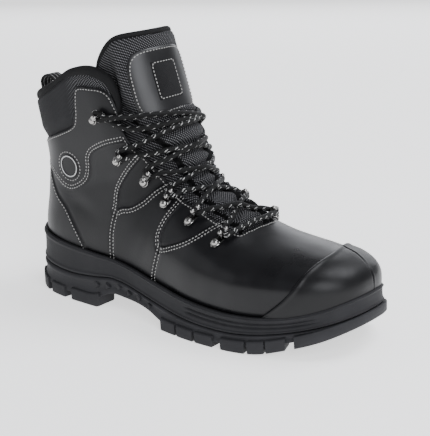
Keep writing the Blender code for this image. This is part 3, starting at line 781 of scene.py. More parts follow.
FINISHES = {
    "upper": upper_finish(),
    "patch": leather_finish("tongue patch leather", 0.36, 0.03),
    "label": ribbed_finish("woven label", 0.9, (0.012, 0.012, 0.013)),
    "mesh": mesh_finish("tongue mesh", MESH_PERIOD),
    # The same dark cloth also covers the faces in the tongue's fold, where it is painted shade
    "binding": ribbed_finish("binding cloth and painted fold shade", 0.7, (0.008, 0.008, 0.0085)),
    "lining": mesh_finish("lining mesh", 2.6, (0.02, 0.02, 0.021)),
    "webbing": ribbed_finish("pull loop webbing", 1.0, (0.012, 0.012, 0.012)),
    "stripe": thread_finish("webbing stripe", (0.35, 0.35, 0.35)),
    "thread": thread_finish("stitching thread", THREAD),
    "lace": braid_finish("lace braid", (0.003, 0.003, 0.003), (0.009, 0.009, 0.0095)),
    "fleck": braid_finish("lace flecks", (0.5, 0.5, 0.49), (0.8, 0.8, 0.78)),
    "midsole": rubber_finish("midsole foam", (0.02, 0.02, 0.0215), 0.58, 0.05 * MM, SOLE_SHINE),
    "outsole": rubber_finish("outsole rubber", (0.024, 0.024, 0.026), 0.58, 0.07 * MM, SOLE_SHINE),
    "bumper": rubber_finish("toe bumper rubber", (0.0045, 0.0045, 0.005), 0.38, 0.04 * MM),
    "badge": rubber_finish("ankle badge", (0.006, 0.006, 0.0065), 0.4, 0.05 * MM),
    "badge ring": rubber_finish("ankle badge ring", (0.4, 0.4, 0.4), 0.5, 0.05 * MM),
    "metal": metal_finish("bright nickel", METAL, METAL_BRIGHT),
    "plate": metal_finish("dark nickel", PLATE_METAL, PLATE_BRIGHT),
}

# The topline and throat, a row for each turn: station, then x, distance from the middle and height
TOPLINE = table(
    "station x gap z",
    (0.0, 209.5, 0, 76),
    (0.16, 210, 11, 76),
    (0.30, 207, 21, 75),
    (0.37, 198, 22.5, 79),
    (0.43, 182, 22.5, 86),
    (0.50, 156, 24, 96),
    (0.54, 141, 27, 110),
    (0.58, 129, 32, 124),
    (0.62, 118, 36, 134),
    (0.65, 113, 37.5, 146),
    (0.68, 113, 38, 158),
    (0.72, 106.5, 39.5, 175),
    (0.77, 91, 42, 183.5),
    (0.83, 68, 42, 181),
    (0.90, 44, 41, 168),
    (0.95, 20, 27, 158),
    (1.0, 6, 0, 154),
)
CHORD_INSET = 25.0
DRAPE_EASE = 40
COLLAR_PAD = 4.0
PAD_STATIONS = (0.64, 0.72)
PAD_LEVELS = (0.62, 0.82)
UPPER_HALF = 250
UPPER_LEVELS = 120
LINING_STEP = 5
RIM_ROWS = 5


def drape(feet, tops, levels):
    """Rows of points up the last from each foot to its top, evenly spaced along the surface."""
    chord = tops - feet
    along = unit(chord)
    out = eased(unit(normals(feet) * (1, 1, 0)), DRAPE_EASE)
    out = square_to(along, out)
    shares = np.linspace(0, 1, levels + 1)
    rows = [cast(feet + t * chord - CHORD_INSET * out, out) for t in shares[1:-1]]
    fine = np.array([feet, *rows, tops])
    length = np.cumsum(np.linalg.norm(np.diff(fine, axis=0), axis=-1), axis=0)
    length = np.concatenate([np.zeros((1, len(feet))), length])
    sheet = np.empty((levels + 1, len(feet), 3))
    for j in range(len(feet)):
        for k in range(3):
            sheet[:, j, k] = np.interp(shares * length[-1, j], length[:, j], fine[:, j, k])
    return sheet, length[-1]


def upper_sheet(levels, shares, sides):
    """The outside of the upper: rows of points from the sole's floor to the topline."""
    feet, _ = ring(lambda x: floor_height(x) + GAP, shares, sides)
    gap = curve(TOPLINE, "gap", shares)
    tops = np.stack([curve(TOPLINE, "x", shares), sides * gap, curve(TOPLINE, "z", shares)], -1)
    return drape(feet, settle(tops, SETTLE_FAR), levels)


# Seams of one side as x and z of their bends; an x of HEEL means the middle of the heel
HEEL = -1.0
SEAMS = {
    "ankle edge": [(HEEL, 119), (33.5, 127), (63, 139), (69, 147), (70.5, 158), (72.5, 169), (77, 172),
                   (89, 172.5), (98, 172), (105, 168.5), (110, 160), (114.5, 150)],
    "ankle seam": [(115, 133.5), (99, 129), (84, 122), (79, 116), (78, 108), (75, 99), (67, 92),
                   (56, 87.5), (47, 89), (39, 94), (28, 99.5), (HEEL, 101)],
    "counter": [(28, 97), (38, 82), (48, 73), (58, 61), (67, 49), (73, 38)],
    "quarter top": [(127, 121), (118, 111), (109, 99), (106, 91), (105.5, 84), (103.5, 78)],
    "quarter low": [(103.5, 78), (100, 64), (99, 53), (98.5, 37)],
    "first lens": [(104, 79), (109, 82), (118, 84), (128, 90), (138, 99), (148, 106)],
    "vamp top": [(161, 94), (158, 87), (154, 79), (151, 69), (152.5, 62)],
    "vamp low": [(152.5, 62), (150, 52), (146, 40), (144, 30)],
    "second lens": [(153, 61), (163, 64.5), (176, 70), (185, 76), (193, 82)],
}
SEAM_SPACING = 0.8
SEAM_REACH = 30.0
CHUNK_POINTS = 3000

# Regions between seams: the seam lines that bound them, then far corners that close them
REGIONS = {
    "cloth": (["ankle edge"], [(135, 150), (135, 230), (-30, 230), (-30, 119)]),
    "ankle": (["ankle edge", "ankle seam"], []),
    "counter": (["counter"], [(76, 10), (-30, 10), (-30, 101), (20, 101)]),
    "first lens": (["quarter top", "first lens"], [(160, 120), (138, 134)]),
    "second lens": (["vamp top", "second lens"], [(205, 100), (170, 112)]),
}
# Stitches beside seams: seam, then distances from it; above a seam that runs forward counts up
STITCHED = [
    ("ankle edge", (-2.0,)),
    ("ankle seam", (-1.5, -3.9)),
    ("counter", (-1.8,)),
    ("quarter top", (-1.5, -3.8)),
    ("quarter low", (-1.7, 1.7)),
    ("first lens", (-1.5, -3.8)),
    ("vamp top", (-1.5, -3.8)),
    ("vamp low", (-1.7, 1.7)),
    ("second lens", (-1.5, -3.8)),
]
GROOVES = {"quarter low": 0.9, "vamp low": 0.9, "ankle seam": 0.35, "ankle edge": 0.4}
CLOTH_SINK = 1.0
CLOTH_PAD = 2.4
CLOTH_SLOPE = (0.5, 11.0)
PANEL_RISE = {"ankle": 0.6, "counter": 0.8, "first lens": -0.9, "second lens": -0.9}
STEP_WIDTH = 0.55
SEAM_GROOVE = 0.9
DENT_DEPTH = 0.18
DENT_WIDTH = 0.8

# Creases of the leather, a row for each: middle x and z, length, slant in degrees, width and depth
CREASES = table(
    "x z length slant width depth",
    (120, 96, 34, 62, 5.0, 0.5),
    (128, 74, 40, 70, 7.0, 0.7),
    (137, 60, 36, 64, 6.0, 0.4),
    (92, 100, 30, 24, 5.0, 0.45),
    (62, 78, 36, -18, 6.0, 0.4),
    (196, 55, 46, 72, 9.0, 0.5),
    (214, 52, 40, 78, 8.0, 0.35),
)
CREASE_RIDGE = 0.5
CREASE_RIDGE_AT = 1.7
CREASE_FADE = (-6.0, 0.0)


def on_side(points, side):
    """Places on one side of the last from x and z."""
    points = np.array(points, float)
    at_heel = points[:, 0] == HEEL
    starts = upright(np.where(at_heel, HEEL_PIVOT, points[:, 0]), points[:, 1])
    ways = np.where(at_heel[:, None], (-1.0, 0.0, 0.0), (0.0, float(side), 0.0))
    return cast(starts, ways)


def seam_lines(side):
    """Every seam of one side as a line of close points on the last."""
    lines = {}
    for name, bends in SEAMS.items():
        lines[name] = settle(spline(on_side(bends, side), SEAM_SPACING))
    return lines


def distance_to(points, line, limit=SEAM_REACH):
    """Distance of each point from a line of close samples, no more than a limit."""
    found = np.full(len(points), limit)
    near = np.all((points > line.min(0) - limit) & (points < line.max(0) + limit), axis=1)
    places = np.flatnonzero(near)
    for chunk in np.array_split(places, max(len(places) // CHUNK_POINTS, 1)):
        if len(chunk):
            gaps = points[chunk, None] - line[None]
            found[chunk] = np.minimum(np.sqrt(np.min(np.sum(gaps**2, -1), axis=1)), limit)
    return found


def inside(points, outline):
    """Whether points lie in a closed outline, both in x and z."""
    x, z = points[:, 0, None], points[:, 2, None]
    a, b = outline, np.roll(outline, -1, axis=0)
    crosses = (a[:, 1] > z) != (b[:, 1] > z)
    rise = np.where(a[:, 1] == b[:, 1], 1, b[:, 1] - a[:, 1])
    at = a[:, 0] + (z - a[:, 1]) / rise * (b[:, 0] - a[:, 0])
    return np.sum(crosses & (x < at), axis=1) % 2 == 1


def crease_height(points):
    """Soft troughs with a low ridge beside them."""
    height = np.zeros(len(points))
    for x, z, length, slant, width, depth in zip(*CREASES.values()):
        turn = math.radians(slant)
        along = (points[:, 0] - x) * math.cos(turn) + (points[:, 2] - z) * math.sin(turn)
        across = (points[:, 2] - z) * math.cos(turn) - (points[:, 0] - x) * math.sin(turn)
        taper = ridge(along, length / 2)
        trough = ridge(across, width) - CREASE_RIDGE * ridge(across - CREASE_RIDGE_AT * width, width)
        height -= depth * taper * trough
    return height


def side_relief(points, lines):
    """Height of the panels of one side over the last, and the distances that the finish reads."""
    reach = {name: distance_to(points, line) for name, line in lines.items()}
    signed = {}
    for name, (edges, corners) in REGIONS.items():
        outline = [lines[edge][:, [0, 2]] for edge in edges] + [np.reshape(corners, (-1, 2))]
        near = np.min([reach[edge] for edge in edges], axis=0)
        signed[name] = np.where(inside(points, np.concatenate(outline)), near, -near)
    step = (-STEP_WIDTH, STEP_WIDTH)
    height = sum(rise * ramp(signed[name], step) for name, rise in PANEL_RISE.items())
    height = height - CLOTH_SINK * ramp(signed["cloth"], step)
    height = height + CLOTH_PAD * ramp(signed["cloth"], CLOTH_SLOPE)
    for name, depth in GROOVES.items():
        height = height - depth * ridge(reach[name], SEAM_GROOVE)
    for name, rows in STITCHED:
        for row in rows:
            height = height - DENT_DEPTH * ridge(reach[name] - abs(row), DENT_WIDTH)
    height = height + crease_height(points) * (1 - ramp(signed["cloth"], CREASE_FADE))
    lens = np.maximum(signed["first lens"], signed["second lens"])
    groove = np.min([reach["quarter low"], reach["vamp low"]], axis=0)
    field = [signed["cloth"], lens, signed["counter"], signed["ankle"], groove, 0 * lens]
    return height, np.stack(field, -1)


LINES = {side: seam_lines(side) for side in SIDES.values()}


def relief(points):
    """Height of the upper's panels over the last at any points on it, and the finish's field."""
    height = np.zeros(len(points))
    field = np.zeros((len(points), 6))
    for side in SIDES.values():
        here = points[:, 1] * side >= 0
        if here.any():
            height[here], field[here] = side_relief(points[here], LINES[side])
    return height, field


# The upper's edges: the collar's binding and seam, and the turned edge of the throat
BINDING_WIDTH = 3.4
BINDING_TURN = (-0.5, 1.5)
BINDING_ROW = -6
RISE_ROW = -4
BINDING_RISE = 0.8
BINDING_STATIONS = (0.655, 0.675)
BINDING_COLUMNS = 16
BINDING_EDGE = 1.4
BINDING_THICKNESS = 1.2
BINDING_MEET = 0.9
COLLAR_SOFT = (0.0, 7.0)
COLLAR_SEAM = 0.6
COLLAR_SEAM_WIDTH = 1.1
EDGE_SINK = 0.35
EDGE_TURN = 1.6
FAR_FIELD = 9.0


def rolled_edge(outer, inner):
    """Rows that turn round the upper's top from its outside to its lining."""
    middle, half = (outer[-1] + inner[-1]) / 2, (outer[-1] - inner[-1]) / 2
    rise = unit(outer[-1] - outer[RISE_ROW]) * np.linalg.norm(half, axis=-1, keepdims=True)
    turn = np.linspace(0, math.pi, RIM_ROWS + 2)[1:-1]
    return np.array([middle + half * math.cos(t) + rise * math.sin(t) for t in turn])


def build_upper():
    """The upper's shell: relief outside, a rolled edge and the lining, with the collar's pad inside."""
    shares, sides = around(UPPER_HALF)
    sheet, lengths = upper_sheet(UPPER_LEVELS, shares, sides)
    out = normals(sheet)
    height, field = relief(sheet.reshape(-1, 3))
    height = height.reshape(sheet.shape[:2])
    up = np.linspace(0, 1, UPPER_LEVELS + 1)[:, None]
    below_top = (1 - up) * lengths
    collar = ramp(shares, BINDING_STATIONS)
    height = height * (1 - collar * (1 - ramp(below_top, COLLAR_SOFT)))
    height = height - COLLAR_SEAM * ridge(below_top - BINDING_WIDTH, COLLAR_SEAM_WIDTH) * collar
    height = height - EDGE_SINK * ridge(below_top, EDGE_TURN) * (1 - collar)
    outer = sheet + height[..., None] * out
    pad = COLLAR_PAD * ramp(shares, PAD_STATIONS) * ramp(up, PAD_LEVELS)
    inner = sheet - out * (WALL + pad)[..., None]
    points = np.concatenate([outer, rolled_edge(outer, inner), inner[::-LINING_STEP], outer[:1]])
    fields = np.full((*points.shape[:2], 6), -FAR_FIELD)
    fields[: len(outer)] = field.reshape(*outer.shape[:2], 6)
    fields[len(outer):, :, 4] = FAR_FIELD
    slots = np.zeros((len(points) - 1, points.shape[1]), int)
    slots[len(outer) + RIM_ROWS - 1:] = 1
    work = Patchwork()
    work.grid(points, slots, closed=True, field=fields)
    work.piece("upper_shell", [FINISHES["upper"], FINISHES["lining"]], ["upper"])
    build_binding(sheet, out, shares, pad)


def build_binding(sheet, out, shares, pad):
    """The rolled textile binding along the collar's edge, from throat to throat round the heel."""
    held = np.flatnonzero(shares > BINDING_STATIONS[0])
    order = np.argsort(np.where(held > len(shares) // 2, held - len(shares), held))
    held = held[order]
    top, way = sheet[-1, held], out[-1, held]
    thickness = (WALL + pad[-1, held])[:, None]
    down = unit(sheet[BINDING_ROW, held] - top)
    middle = top - way * thickness / 2
    rows = []
    for t in np.linspace(*BINDING_TURN, BINDING_COLUMNS):
        if t < 0:
            rows.append(top + BINDING_RISE * way - 2 * t * BINDING_WIDTH * down)
        elif t <= 1:
            swing = math.pi * t
            half = thickness / 2 + BINDING_RISE
            rows.append(middle + half * (math.cos(swing) * way - math.sin(swing) * down))
        else:
            rows.append(top - (thickness + BINDING_RISE) * way + 2 * (t - 1) * BINDING_WIDTH * down)
    outer = np.array(rows)
    across, along = edge_distance(outer)
    edge = 1 - edge_profile(np.minimum(across, along), BINDING_EDGE)[..., None]
    inward = unit(middle - outer)
    work = Patchwork()
    work.grid(outer + edge * BINDING_MEET * inward)
    work.grid(outer + (BINDING_THICKNESS - edge * (BINDING_THICKNESS - BINDING_MEET)) * inward)
    work.piece("collar_binding", [FINISHES["binding"]])


# Stitches, and one stitch's section along it: share of its half-length, share of its width, and lift
STITCH_PITCH = 2.75
STITCH_LENGTH = 1.85
STITCH_WIDTH = 0.37
STITCH_TURNS = 6
STITCH_SECTION = table(
    "share width lift",
    (-1, 0, -0.35),
    (-0.85, 0.75, -0.05),
    (-0.4, 1, 0.22),
    (0.4, 1, 0.22),
    (0.85, 0.75, -0.05),
    (1, 0, -0.35),
)
THROAT_STITCH = 2.3
THROAT_END = 0.635
THROAT_COLUMNS = 220
THROAT_LEVELS = 60


def stitch_template():
    """One stitch in its own axes: a short rounded bar that dips at both ends."""
    turn = np.arange(STITCH_TURNS) * 2 * np.pi / STITCH_TURNS
    rows = []
    for share, width, lift in zip(*STITCH_SECTION.values()):
        radius = width * STITCH_WIDTH
        along = np.full(STITCH_TURNS, share * STITCH_LENGTH / 2)
        rows.append(np.stack([along, radius * np.cos(turn), lift + radius * np.sin(turn)], -1))
    return np.array(rows)


def sew(name, frames):
    """A piece of stitches, one at each frame of a place and three axes."""
    work = Patchwork()
    work.copies(stitch_template(), frames)
    work.piece(name, [FINISHES["thread"]])


def stitch_axes(path, middle):
    """Axes of the stitches at the middles of a path's steps: ahead, aside and out."""
    out = normals(middle)
    ahead = square_to(out, unit(np.diff(path, axis=0)))
    return ahead, np.cross(out, ahead), out


def row_frames(path):
    """Stitch places along a path on the last, with their axes."""
    path = resample(path, STITCH_PITCH)
    middle = settle((path[:-1] + path[1:]) / 2)
    ahead, aside, out = stitch_axes(path, middle)
    return zip(middle + relief(middle)[0][:, None] * out, ahead, aside, out)


def beside(line, side, distance):
    """A line moved sideways over the last; up counts positive where it runs forward."""
    ahead = unit(np.gradient(line, axis=0))
    aside = unit(np.cross(normals(line), ahead)) * -side
    return settle(line + distance * aside)


def throat_row(side):
    """The row of stitches beside the throat's edge on one side."""
    shares = np.linspace(0, THROAT_END, THROAT_COLUMNS)
    sheet, lengths = upper_sheet(THROAT_LEVELS, shares, np.full(len(shares), float(side)))
    level = THROAT_LEVELS * (1 - THROAT_STITCH / lengths)
    low = np.floor(level).astype(int)
    columns = np.arange(len(shares))
    part = (level - low)[:, None]
    return sheet[low, columns] * (1 - part) + sheet[low + 1, columns] * part


def build_stitches():
    """The rows of stitches on both sides of the upper."""
    for name, side in SIDES.items():
        lines = [beside(LINES[side][seam], side, row) for seam, rows in STITCHED for row in rows]
        lines.append(throat_row(side))
        sew(f"stitching_{name}", [place for line in lines for place in row_frames(line)])


# The ankle badge, a bare disc with a raised ring, sewn round; radius and height from its middle out
BADGE_PLACE = (55.6, 107.0)
BADGE_RADIUS = 9.4
BADGE_STITCH = 11.6
BADGE_SIDES = 56
BADGE_SECTION = [
    (0.01, 0.35), (5, 0.35), (7.4, 0.35), (7.75, 0.8), (8.2, 0.95), (8.65, 0.8), (8.95, 0.45),
    (BADGE_RADIUS, 0.4), (BADGE_RADIUS + 0.3, -0.3), (0.01, -0.4),
]
BADGE_RING = slice(3, 5)


def build_badge():
    """The badge on the outer ankle, and the stitches round it."""
    centre = on_side([BADGE_PLACE], SIDES["lateral"])[0]
    out = normals(centre[None])[0]
    ahead = square_to(out, np.array([1.0, 0, 0]))
    spread = spokes(BADGE_SIDES, ahead, np.cross(out, ahead))
    rows = []
    for radius, height in BADGE_SECTION:
        points = settle(centre + radius * spread)
        rows.append(points + (PANEL_RISE["ankle"] + height) * normals(points))
    slots = np.zeros((len(rows) - 1, BADGE_SIDES), int)
    slots[BADGE_RING] = 1
    work = Patchwork()
    work.grid(np.array(rows), slots, closed=True)
    work.piece("ankle_badge", [FINISHES["badge"], FINISHES["badge ring"]])
    path = centre + BADGE_STITCH * np.concatenate([spread, spread[:1]])
    sew("badge_stitching", row_frames(settle(path)))


# The instep under the laces: up runs from under the vamp (0) to the tongue's top (1)
SPINE = np.array([(222.0, 40.0), (86.0, 48.0), (62.0, 202.0)])
TILT_START = 82.0
TILT_END = 8.0
INSTEP_HALVINGS = 30


def instep_spine(up):
    """The middle point inside the boot at a level of the instep, and the tilt of the way out."""
    a, b, c = (1 - up) ** 2, 2 * up * (1 - up), up**2
    x, z = [a * SPINE[0, k] + b * SPINE[1, k] + c * SPINE[2, k] for k in (0, 1)]
    return upright(x, z), np.radians(TILT_START + (TILT_END - TILT_START) * up)


def instep(up, across):
    """Points over the instep: up along the throat, across as an angle from the middle in degrees."""
    up, across = np.broadcast_arrays(np.asarray(up, float), np.asarray(across, float))
    starts, tilt = instep_spine(up)
    turn = np.radians(across)
    way = np.stack([np.cos(tilt) * np.cos(turn), np.sin(turn), np.sin(tilt) * np.cos(turn)], -1)
    return cast(starts.reshape(-1, 3), way.reshape(-1, 3)).reshape(starts.shape)


def instep_place(points):
    """The instep's up and across for points on the last: the inverse of instep."""
    low, high = np.zeros(len(points)), np.ones(len(points))
    for _ in range(INSTEP_HALVINGS):
        up = (low + high) / 2
        spine, tilt = instep_spine(up)
        ahead = (points[:, 2] - spine[:, 2]) * np.cos(tilt) - (points[:, 0] - spine[:, 0]) * np.sin(tilt)
        low = np.where(ahead > 0, up, low)
        high = np.where(ahead > 0, high, up)
    reach = (points[:, 0] - spine[:, 0]) * np.cos(tilt) + (points[:, 2] - spine[:, 2]) * np.sin(tilt)
    return up, np.degrees(np.arctan2(points[:, 1], reach))


# The tongue, a row for each level: depth of its edges under the upper, and thickness
TONGUE = table(
    "up sink thickness",
    (0.02, 3.9, 2.5),
    (0.2, 3.9, 3.0),
    (0.5, 3.9, 4.5),
    (0.64, 5.5, 5.5),
    (0.78, 8.2, 6.0),
    (0.88, 8.2, 7.0),
    (0.95, 6.0, 8.0),
    (1.0, 4.0, 6.0),
)
TONGUE_ROWS = 120
TONGUE_COLUMNS = 180
TONGUE_RISE = (0.3, 4.0)
TONGUE_EDGE = 4.0

# The tongue's top: how far it drops at its sides, where the drop starts on each side, and its power
TONGUE_DROP = 0.08
TONGUE_FLAT = (0.525, 0.28)
TONGUE_BEND = 1.7

# The tongue's half-width as an angle, a row for each share of its length
TONGUE_HALF = table(
    "share half",
    (0.0, 30), (0.2, 37), (0.45, 43), (0.56, 49), (0.64, 54), (0.72, 56), (0.8, 55), (0.9, 56), (1.0, 60),
)
CUSHION = 3.2
CUSHION_REACH = (0.4, 4.0)
CUSHION_LIMIT = 12.0
CUSHION_DEPTHS = (1.0, 8.0)
CUSHION_LEVELS = (0.68, 0.74)

# The binding round the tongue's upper edge: where it starts, its depth in the pad, and its size
BOUND_FROM = 0.74
BOUND_SHARE = 0.62
BOUND_STEP = 1.5
BOUND_EASE = 14
BOUND_RADIUS = 2.3
BOUND_SIDES = 16

# The fold between the tongue's pad and the gussets beside it, a row for each level: angle across
FOLD = table(
    "up half",
    (0.0, 25), (0.2, 21), (0.3, 18), (0.4, 16.5), (0.5, 18), (0.57, 21), (0.63, 27), (0.69, 34), (0.76, 41),
)
FOLD_DEPTH = 4.6
FOLD_WALL = (1.0, 2.6)
# Half-width of the strip along the fold whose faces take the dark binding cloth: painted shade in the gap
FOLD_PAINTED_SHADE = 1.9
GUSSET_SINK = 1.2
GUSSET_SWELL = 3.4
GUSSET_SLOPE = (0.0, 3.0)
GUSSET_DEPTHS = (1.0, 4.0)
FOLD_LEVELS = (0.72, 0.8)
THROAT_FRONT = 208.0
THROAT_STATIONS = (0.3, 0.65)


def throat_depth(points):
    """How far points lie inside the throat's edge, millimetres."""
    station = TOPLINE["station"]
    side = (station >= THROAT_STATIONS[0]) & (station <= THROAT_STATIONS[1])
    edge = np.interp(points[..., 0], TOPLINE["x"][side][::-1], TOPLINE["gap"][side][::-1])
    return np.minimum(edge - np.abs(points[..., 1]), THROAT_FRONT - points[..., 0])


def tongue_face(up, across):
    """Points on the tongue's outer face, and the directions out of it."""
    surface = instep(up, across)
    sunk = curve(TONGUE, "sink", up) * (1 - ramp(throat_depth(surface), TONGUE_RISE))
    out = normals(surface)
    return surface - sunk[..., None] * out, out


def tongue_relief(up, across, outer, laces):
    """Swelling of the tongue between the strands, and distance from the fold beside its pad."""
    near = distance_to(outer.reshape(-1, 3), np.concatenate(laces), CUSHION_LIMIT).reshape(up.shape)
    depth = throat_depth(outer)
    swell = CUSHION * ramp(near - LACE_RADIUS - LACE_CLEARANCE, CUSHION_REACH)
    swell = swell * ramp(depth, CUSHION_DEPTHS) * (1 - ramp(up, CUSHION_LEVELS))
    reach = np.linalg.norm(outer - instep_spine(up)[0], axis=-1)
    from_fold = np.radians(np.abs(across) - curve(FOLD, "half", up)) * reach
    low = 1 - ramp(up, FOLD_LEVELS)
    fold = FOLD_DEPTH * (1 - ramp(np.abs(from_fold), FOLD_WALL)) * low
    gusset = ramp(from_fold, GUSSET_SLOPE) * low * ramp(depth, GUSSET_DEPTHS)
    return swell - fold + gusset * np.where(across < 0, -GUSSET_SINK, GUSSET_SWELL), from_fold


def build_tongue(laces):
    """The padded tongue; it swells between the strands that hold it down, and the faces in the fold beside
    its pad carry dark binding cloth as painted shade.
    """
    share = np.linspace(0, 1, TONGUE_ROWS + 1)[:, None]
    aside = np.linspace(-1, 1, TONGUE_COLUMNS + 1)[None]
    level = np.where(aside < 0, *TONGUE_FLAT)
    bend = (np.maximum(np.abs(aside) - level, 0) / (1 - level)) ** TONGUE_BEND
    bottom, top = TONGUE["up"][0], TONGUE["up"][-1] - TONGUE_DROP * bend
    up = bottom + (top - bottom) * share
    across = curve(TONGUE_HALF, "half", share) * aside
    surface = instep(up, across)
    outer, out = tongue_face(up, across)
    swell, from_fold = tongue_relief(up, across, outer, laces)
    thickness = curve(TONGUE, "sink", up) + curve(TONGUE, "thickness", up)
    inner = surface - thickness[..., None] * out
    outer = outer + swell[..., None] * out
    # Faces in the fold take the dark binding cloth (slot 2): painted shade in the gap between pad and
    # gusset
    painted_fold_shade = (np.abs(from_fold) < FOLD_PAINTED_SHADE) & (up < FOLD_LEVELS[0])
    slots = np.where(painted_fold_shade[:-1, :-1], 2, 0)
    work = Patchwork()
    pillow(work, outer, inner, TONGUE_EDGE, slots, 1, weave_map(surface, False))
    finishes = [FINISHES[name] for name in ("mesh", "lining", "binding")]
    pad = work.piece("tongue_pad", finishes, ["tongue"])
    build_tongue_binding(outer * BOUND_SHARE + inner * (1 - BOUND_SHARE))


def build_tongue_binding(middle):
    """The binding round the tongue's upper edge, from a grid within the pad."""
    first = int(BOUND_FROM * TONGUE_ROWS)
    path = np.concatenate([middle[first:, 0], middle[-1, 1:-1], middle[first:, -1][::-1]])
    path = eased(resample(path, BOUND_STEP), BOUND_EASE)
    work = Patchwork()
    tube(work, path, BOUND_RADIUS, BOUND_SIDES, unit(path.mean(axis=0) - path))
    work.piece("tongue_binding", [FINISHES["binding"]])


# The tongue's leather patch and its label: lowest and highest level, middle and half-width in degrees,
# power of the rounded outline, rise over the pad, and place of the stitches as a share of the outline
PATCH = dict(low=0.7, high=0.953, middle=-3.7, half=27.7, power=4.571428, rise=1.1, stitch=0.93)
LABEL = dict(low=0.757, high=0.907, middle=-4.2, half=10.2, power=33.333333, rise=1.8, stitch=0.92)
PATCH_POINTS = 184
PATCH_STITCH_SINK = 0.05

# A patch's section from its middle out and back below: share of its outline, share of its rise
PATCH_SECTION = [
    (0.001, 1.0), (0.3, 1.0), (0.6, 1.0), (0.8, 1.0), (0.93, 0.98), (0.975, 0.85),
    (1.0, 0.45), (1.0, -0.2), (0.5, -0.2), (0.001, -0.2),
]


def patch_loop(patch, share):
    """Level and angle of the points round a patch, at a share of the way from its middle to its edge."""
    turn = np.linspace(0, 2 * np.pi, PATCH_POINTS, endpoint=False)
    power = patch["power"]
    radius = share * (np.abs(np.cos(turn)) ** power + np.abs(np.sin(turn)) ** power) ** (-1 / power)
    middle, reach = (patch["low"] + patch["high"]) / 2, (patch["high"] - patch["low"]) / 2
    return middle + reach * radius * np.sin(turn), patch["middle"] + patch["half"] * radius * np.cos(turn)


def build_patch(name, patch, finish):
    """A flat patch on the tongue's face, sewn on round its edge."""
    rows = []
    for share, rise in PATCH_SECTION:
        points, out = tongue_face(*patch_loop(patch, share))
        rows.append(points + patch["rise"] * rise * out)
    work = Patchwork()
    work.grid(np.array(rows), closed=True)
    work.piece(name, [FINISHES[finish]])
    path, out = tongue_face(*patch_loop(patch, patch["stitch"]))
    path = path + (patch["rise"] - PATCH_STITCH_SINK) * out
    path = resample(np.concatenate([path, path[:1]]), STITCH_PITCH)
    middle = (path[:-1] + path[1:]) / 2
    sew(name + "_stitching", zip(middle, *stitch_axes(path, middle)))


# Lace hardware, a row for each pair with the hooks last: place of the rivet, and lift off the upper
EYELETS = table(
    "x lateral medial z lift",
    (200, 37, 33, 71, 0.5),
    (173, 33, 33, 81, 0.5),
    (148, 30.5, 32, 90, 1.15),
    (130, 31.5, 33, 104, 0.9),
    (108, 36, 37, 118, 0.8),
    (90, 40, 40, 148, 0.8),
)
THROAT_LEAN = (40.0, 0.0, 20.0)
RIVET_RADIUS = 3.1
RIVET_HEIGHT = 2.6
PLATE_THICKNESS = 0.9
PLATE_WIDTH = 6.4
PLATE_BACK = 4.2
PLATE_FRONT = 8.4
PLATE_GRID = (22, 11)
PLATE_ROUND = 2.4
PLATE_LEAST = 0.02
PLATE_TAPER = 0.28
PLATE_TAPER_START = 2.0
PLATE_SINK = 0.5
PLATE_EDGE = 0.8
RIVET_COLLAR = 0.35
RING_REACH = 7.4
RING_RADIUS = 3.9
RING_BORE = 2.75
RING_WIDTH = 5.0
RING_TURNS = 16
RING_SQUARENESS = 0.6
BALL_RADIUS = 1.75
BALL_SWING = 42.0
BALL_SIDES = 18
HOOK_BEND = 3.2
HOOK_SWING = (-90.0, 110.0)
HOOK_GRID = (22, 9)
HOOK_WIDTH = 4.4
HOOK_SKIN = 0.6
HOOK_BALL = 1.5
ROUND_SIDES = 28


def seats(side):
    """Rivet places of one side with their axes: out of the upper, up the throat, across to it."""
    gap = EYELETS["lateral"] if side < 0 else EYELETS["medial"]
    points = settle(np.column_stack([EYELETS["x"], side * gap, EYELETS["z"]]), SETTLE_FAR)
    out = normals(points)
    up = square_to(out, np.gradient(points, axis=0))
    across = facing(np.cross(out, up), points * (0, -1, 0) + THROAT_LEAN)
    return points, out, up, across, EYELETS["lift"][:, None]


def band_axes(seat):
    """Middle and axes of the band that holds the lace beside a rivet."""
    place, _, up, across, lift = seat
    foot = settle(place + RING_REACH * across, SETTLE_FAR)
    out = normals(foot)
    up = square_to(out, up)
    return foot + (lift + RING_RADIUS) * out, out, up, facing(np.cross(out, up), across)


def add_plate(work, place, up, across, lift):
    """The tab under a rivet and its band: a strip with a round end that follows the upper."""
    reach = np.linspace(-PLATE_BACK, PLATE_FRONT, PLATE_GRID[0])
    width = np.linspace(-0.5, 0.5, PLATE_GRID[1]) * PLATE_WIDTH
    end = np.clip(-reach / PLATE_BACK, 0, 1)
    narrow = np.sqrt(np.maximum(1 - end**PLATE_ROUND, PLATE_LEAST))
    narrow = narrow * (1 - PLATE_TAPER * ramp(reach, (PLATE_TAPER_START, PLATE_FRONT)))
    foot = place + reach[:, None, None] * across + (narrow[:, None] * width)[..., None] * up
    foot = settle(foot, SETTLE_FAR)
    out = normals(foot)
    pillow(work, foot + (lift + PLATE_THICKNESS) * out, foot + (lift - PLATE_SINK) * out, PLATE_EDGE, 1)


def add_rivet(work, place, out, up, across, lift):
    """A domed rivet on its collar."""
    rim, base = RIVET_RADIUS + RIVET_COLLAR, PLATE_THICKNESS + RIVET_COLLAR
    profile = [(RIVET_RADIUS * 0.94, 0.1), (rim, 0.5), (rim, PLATE_THICKNESS + 0.15)]
    for turn in np.radians(np.linspace(0, 90, 10)):
        profile.append((RIVET_RADIUS * math.cos(turn), base + RIVET_HEIGHT * math.sin(turn)))
    turned(work, profile, ROUND_SIDES, place + lift * out, up, across, out)


def add_ball(work, centre, radius, ahead, aside, out):
    """A small ball."""
    swing = np.radians(np.linspace(-90, 90, 13))
    profile = list(zip(radius * np.cos(swing), radius * np.sin(swing)))
    turned(work, profile, BALL_SIDES, centre, ahead, aside, out)


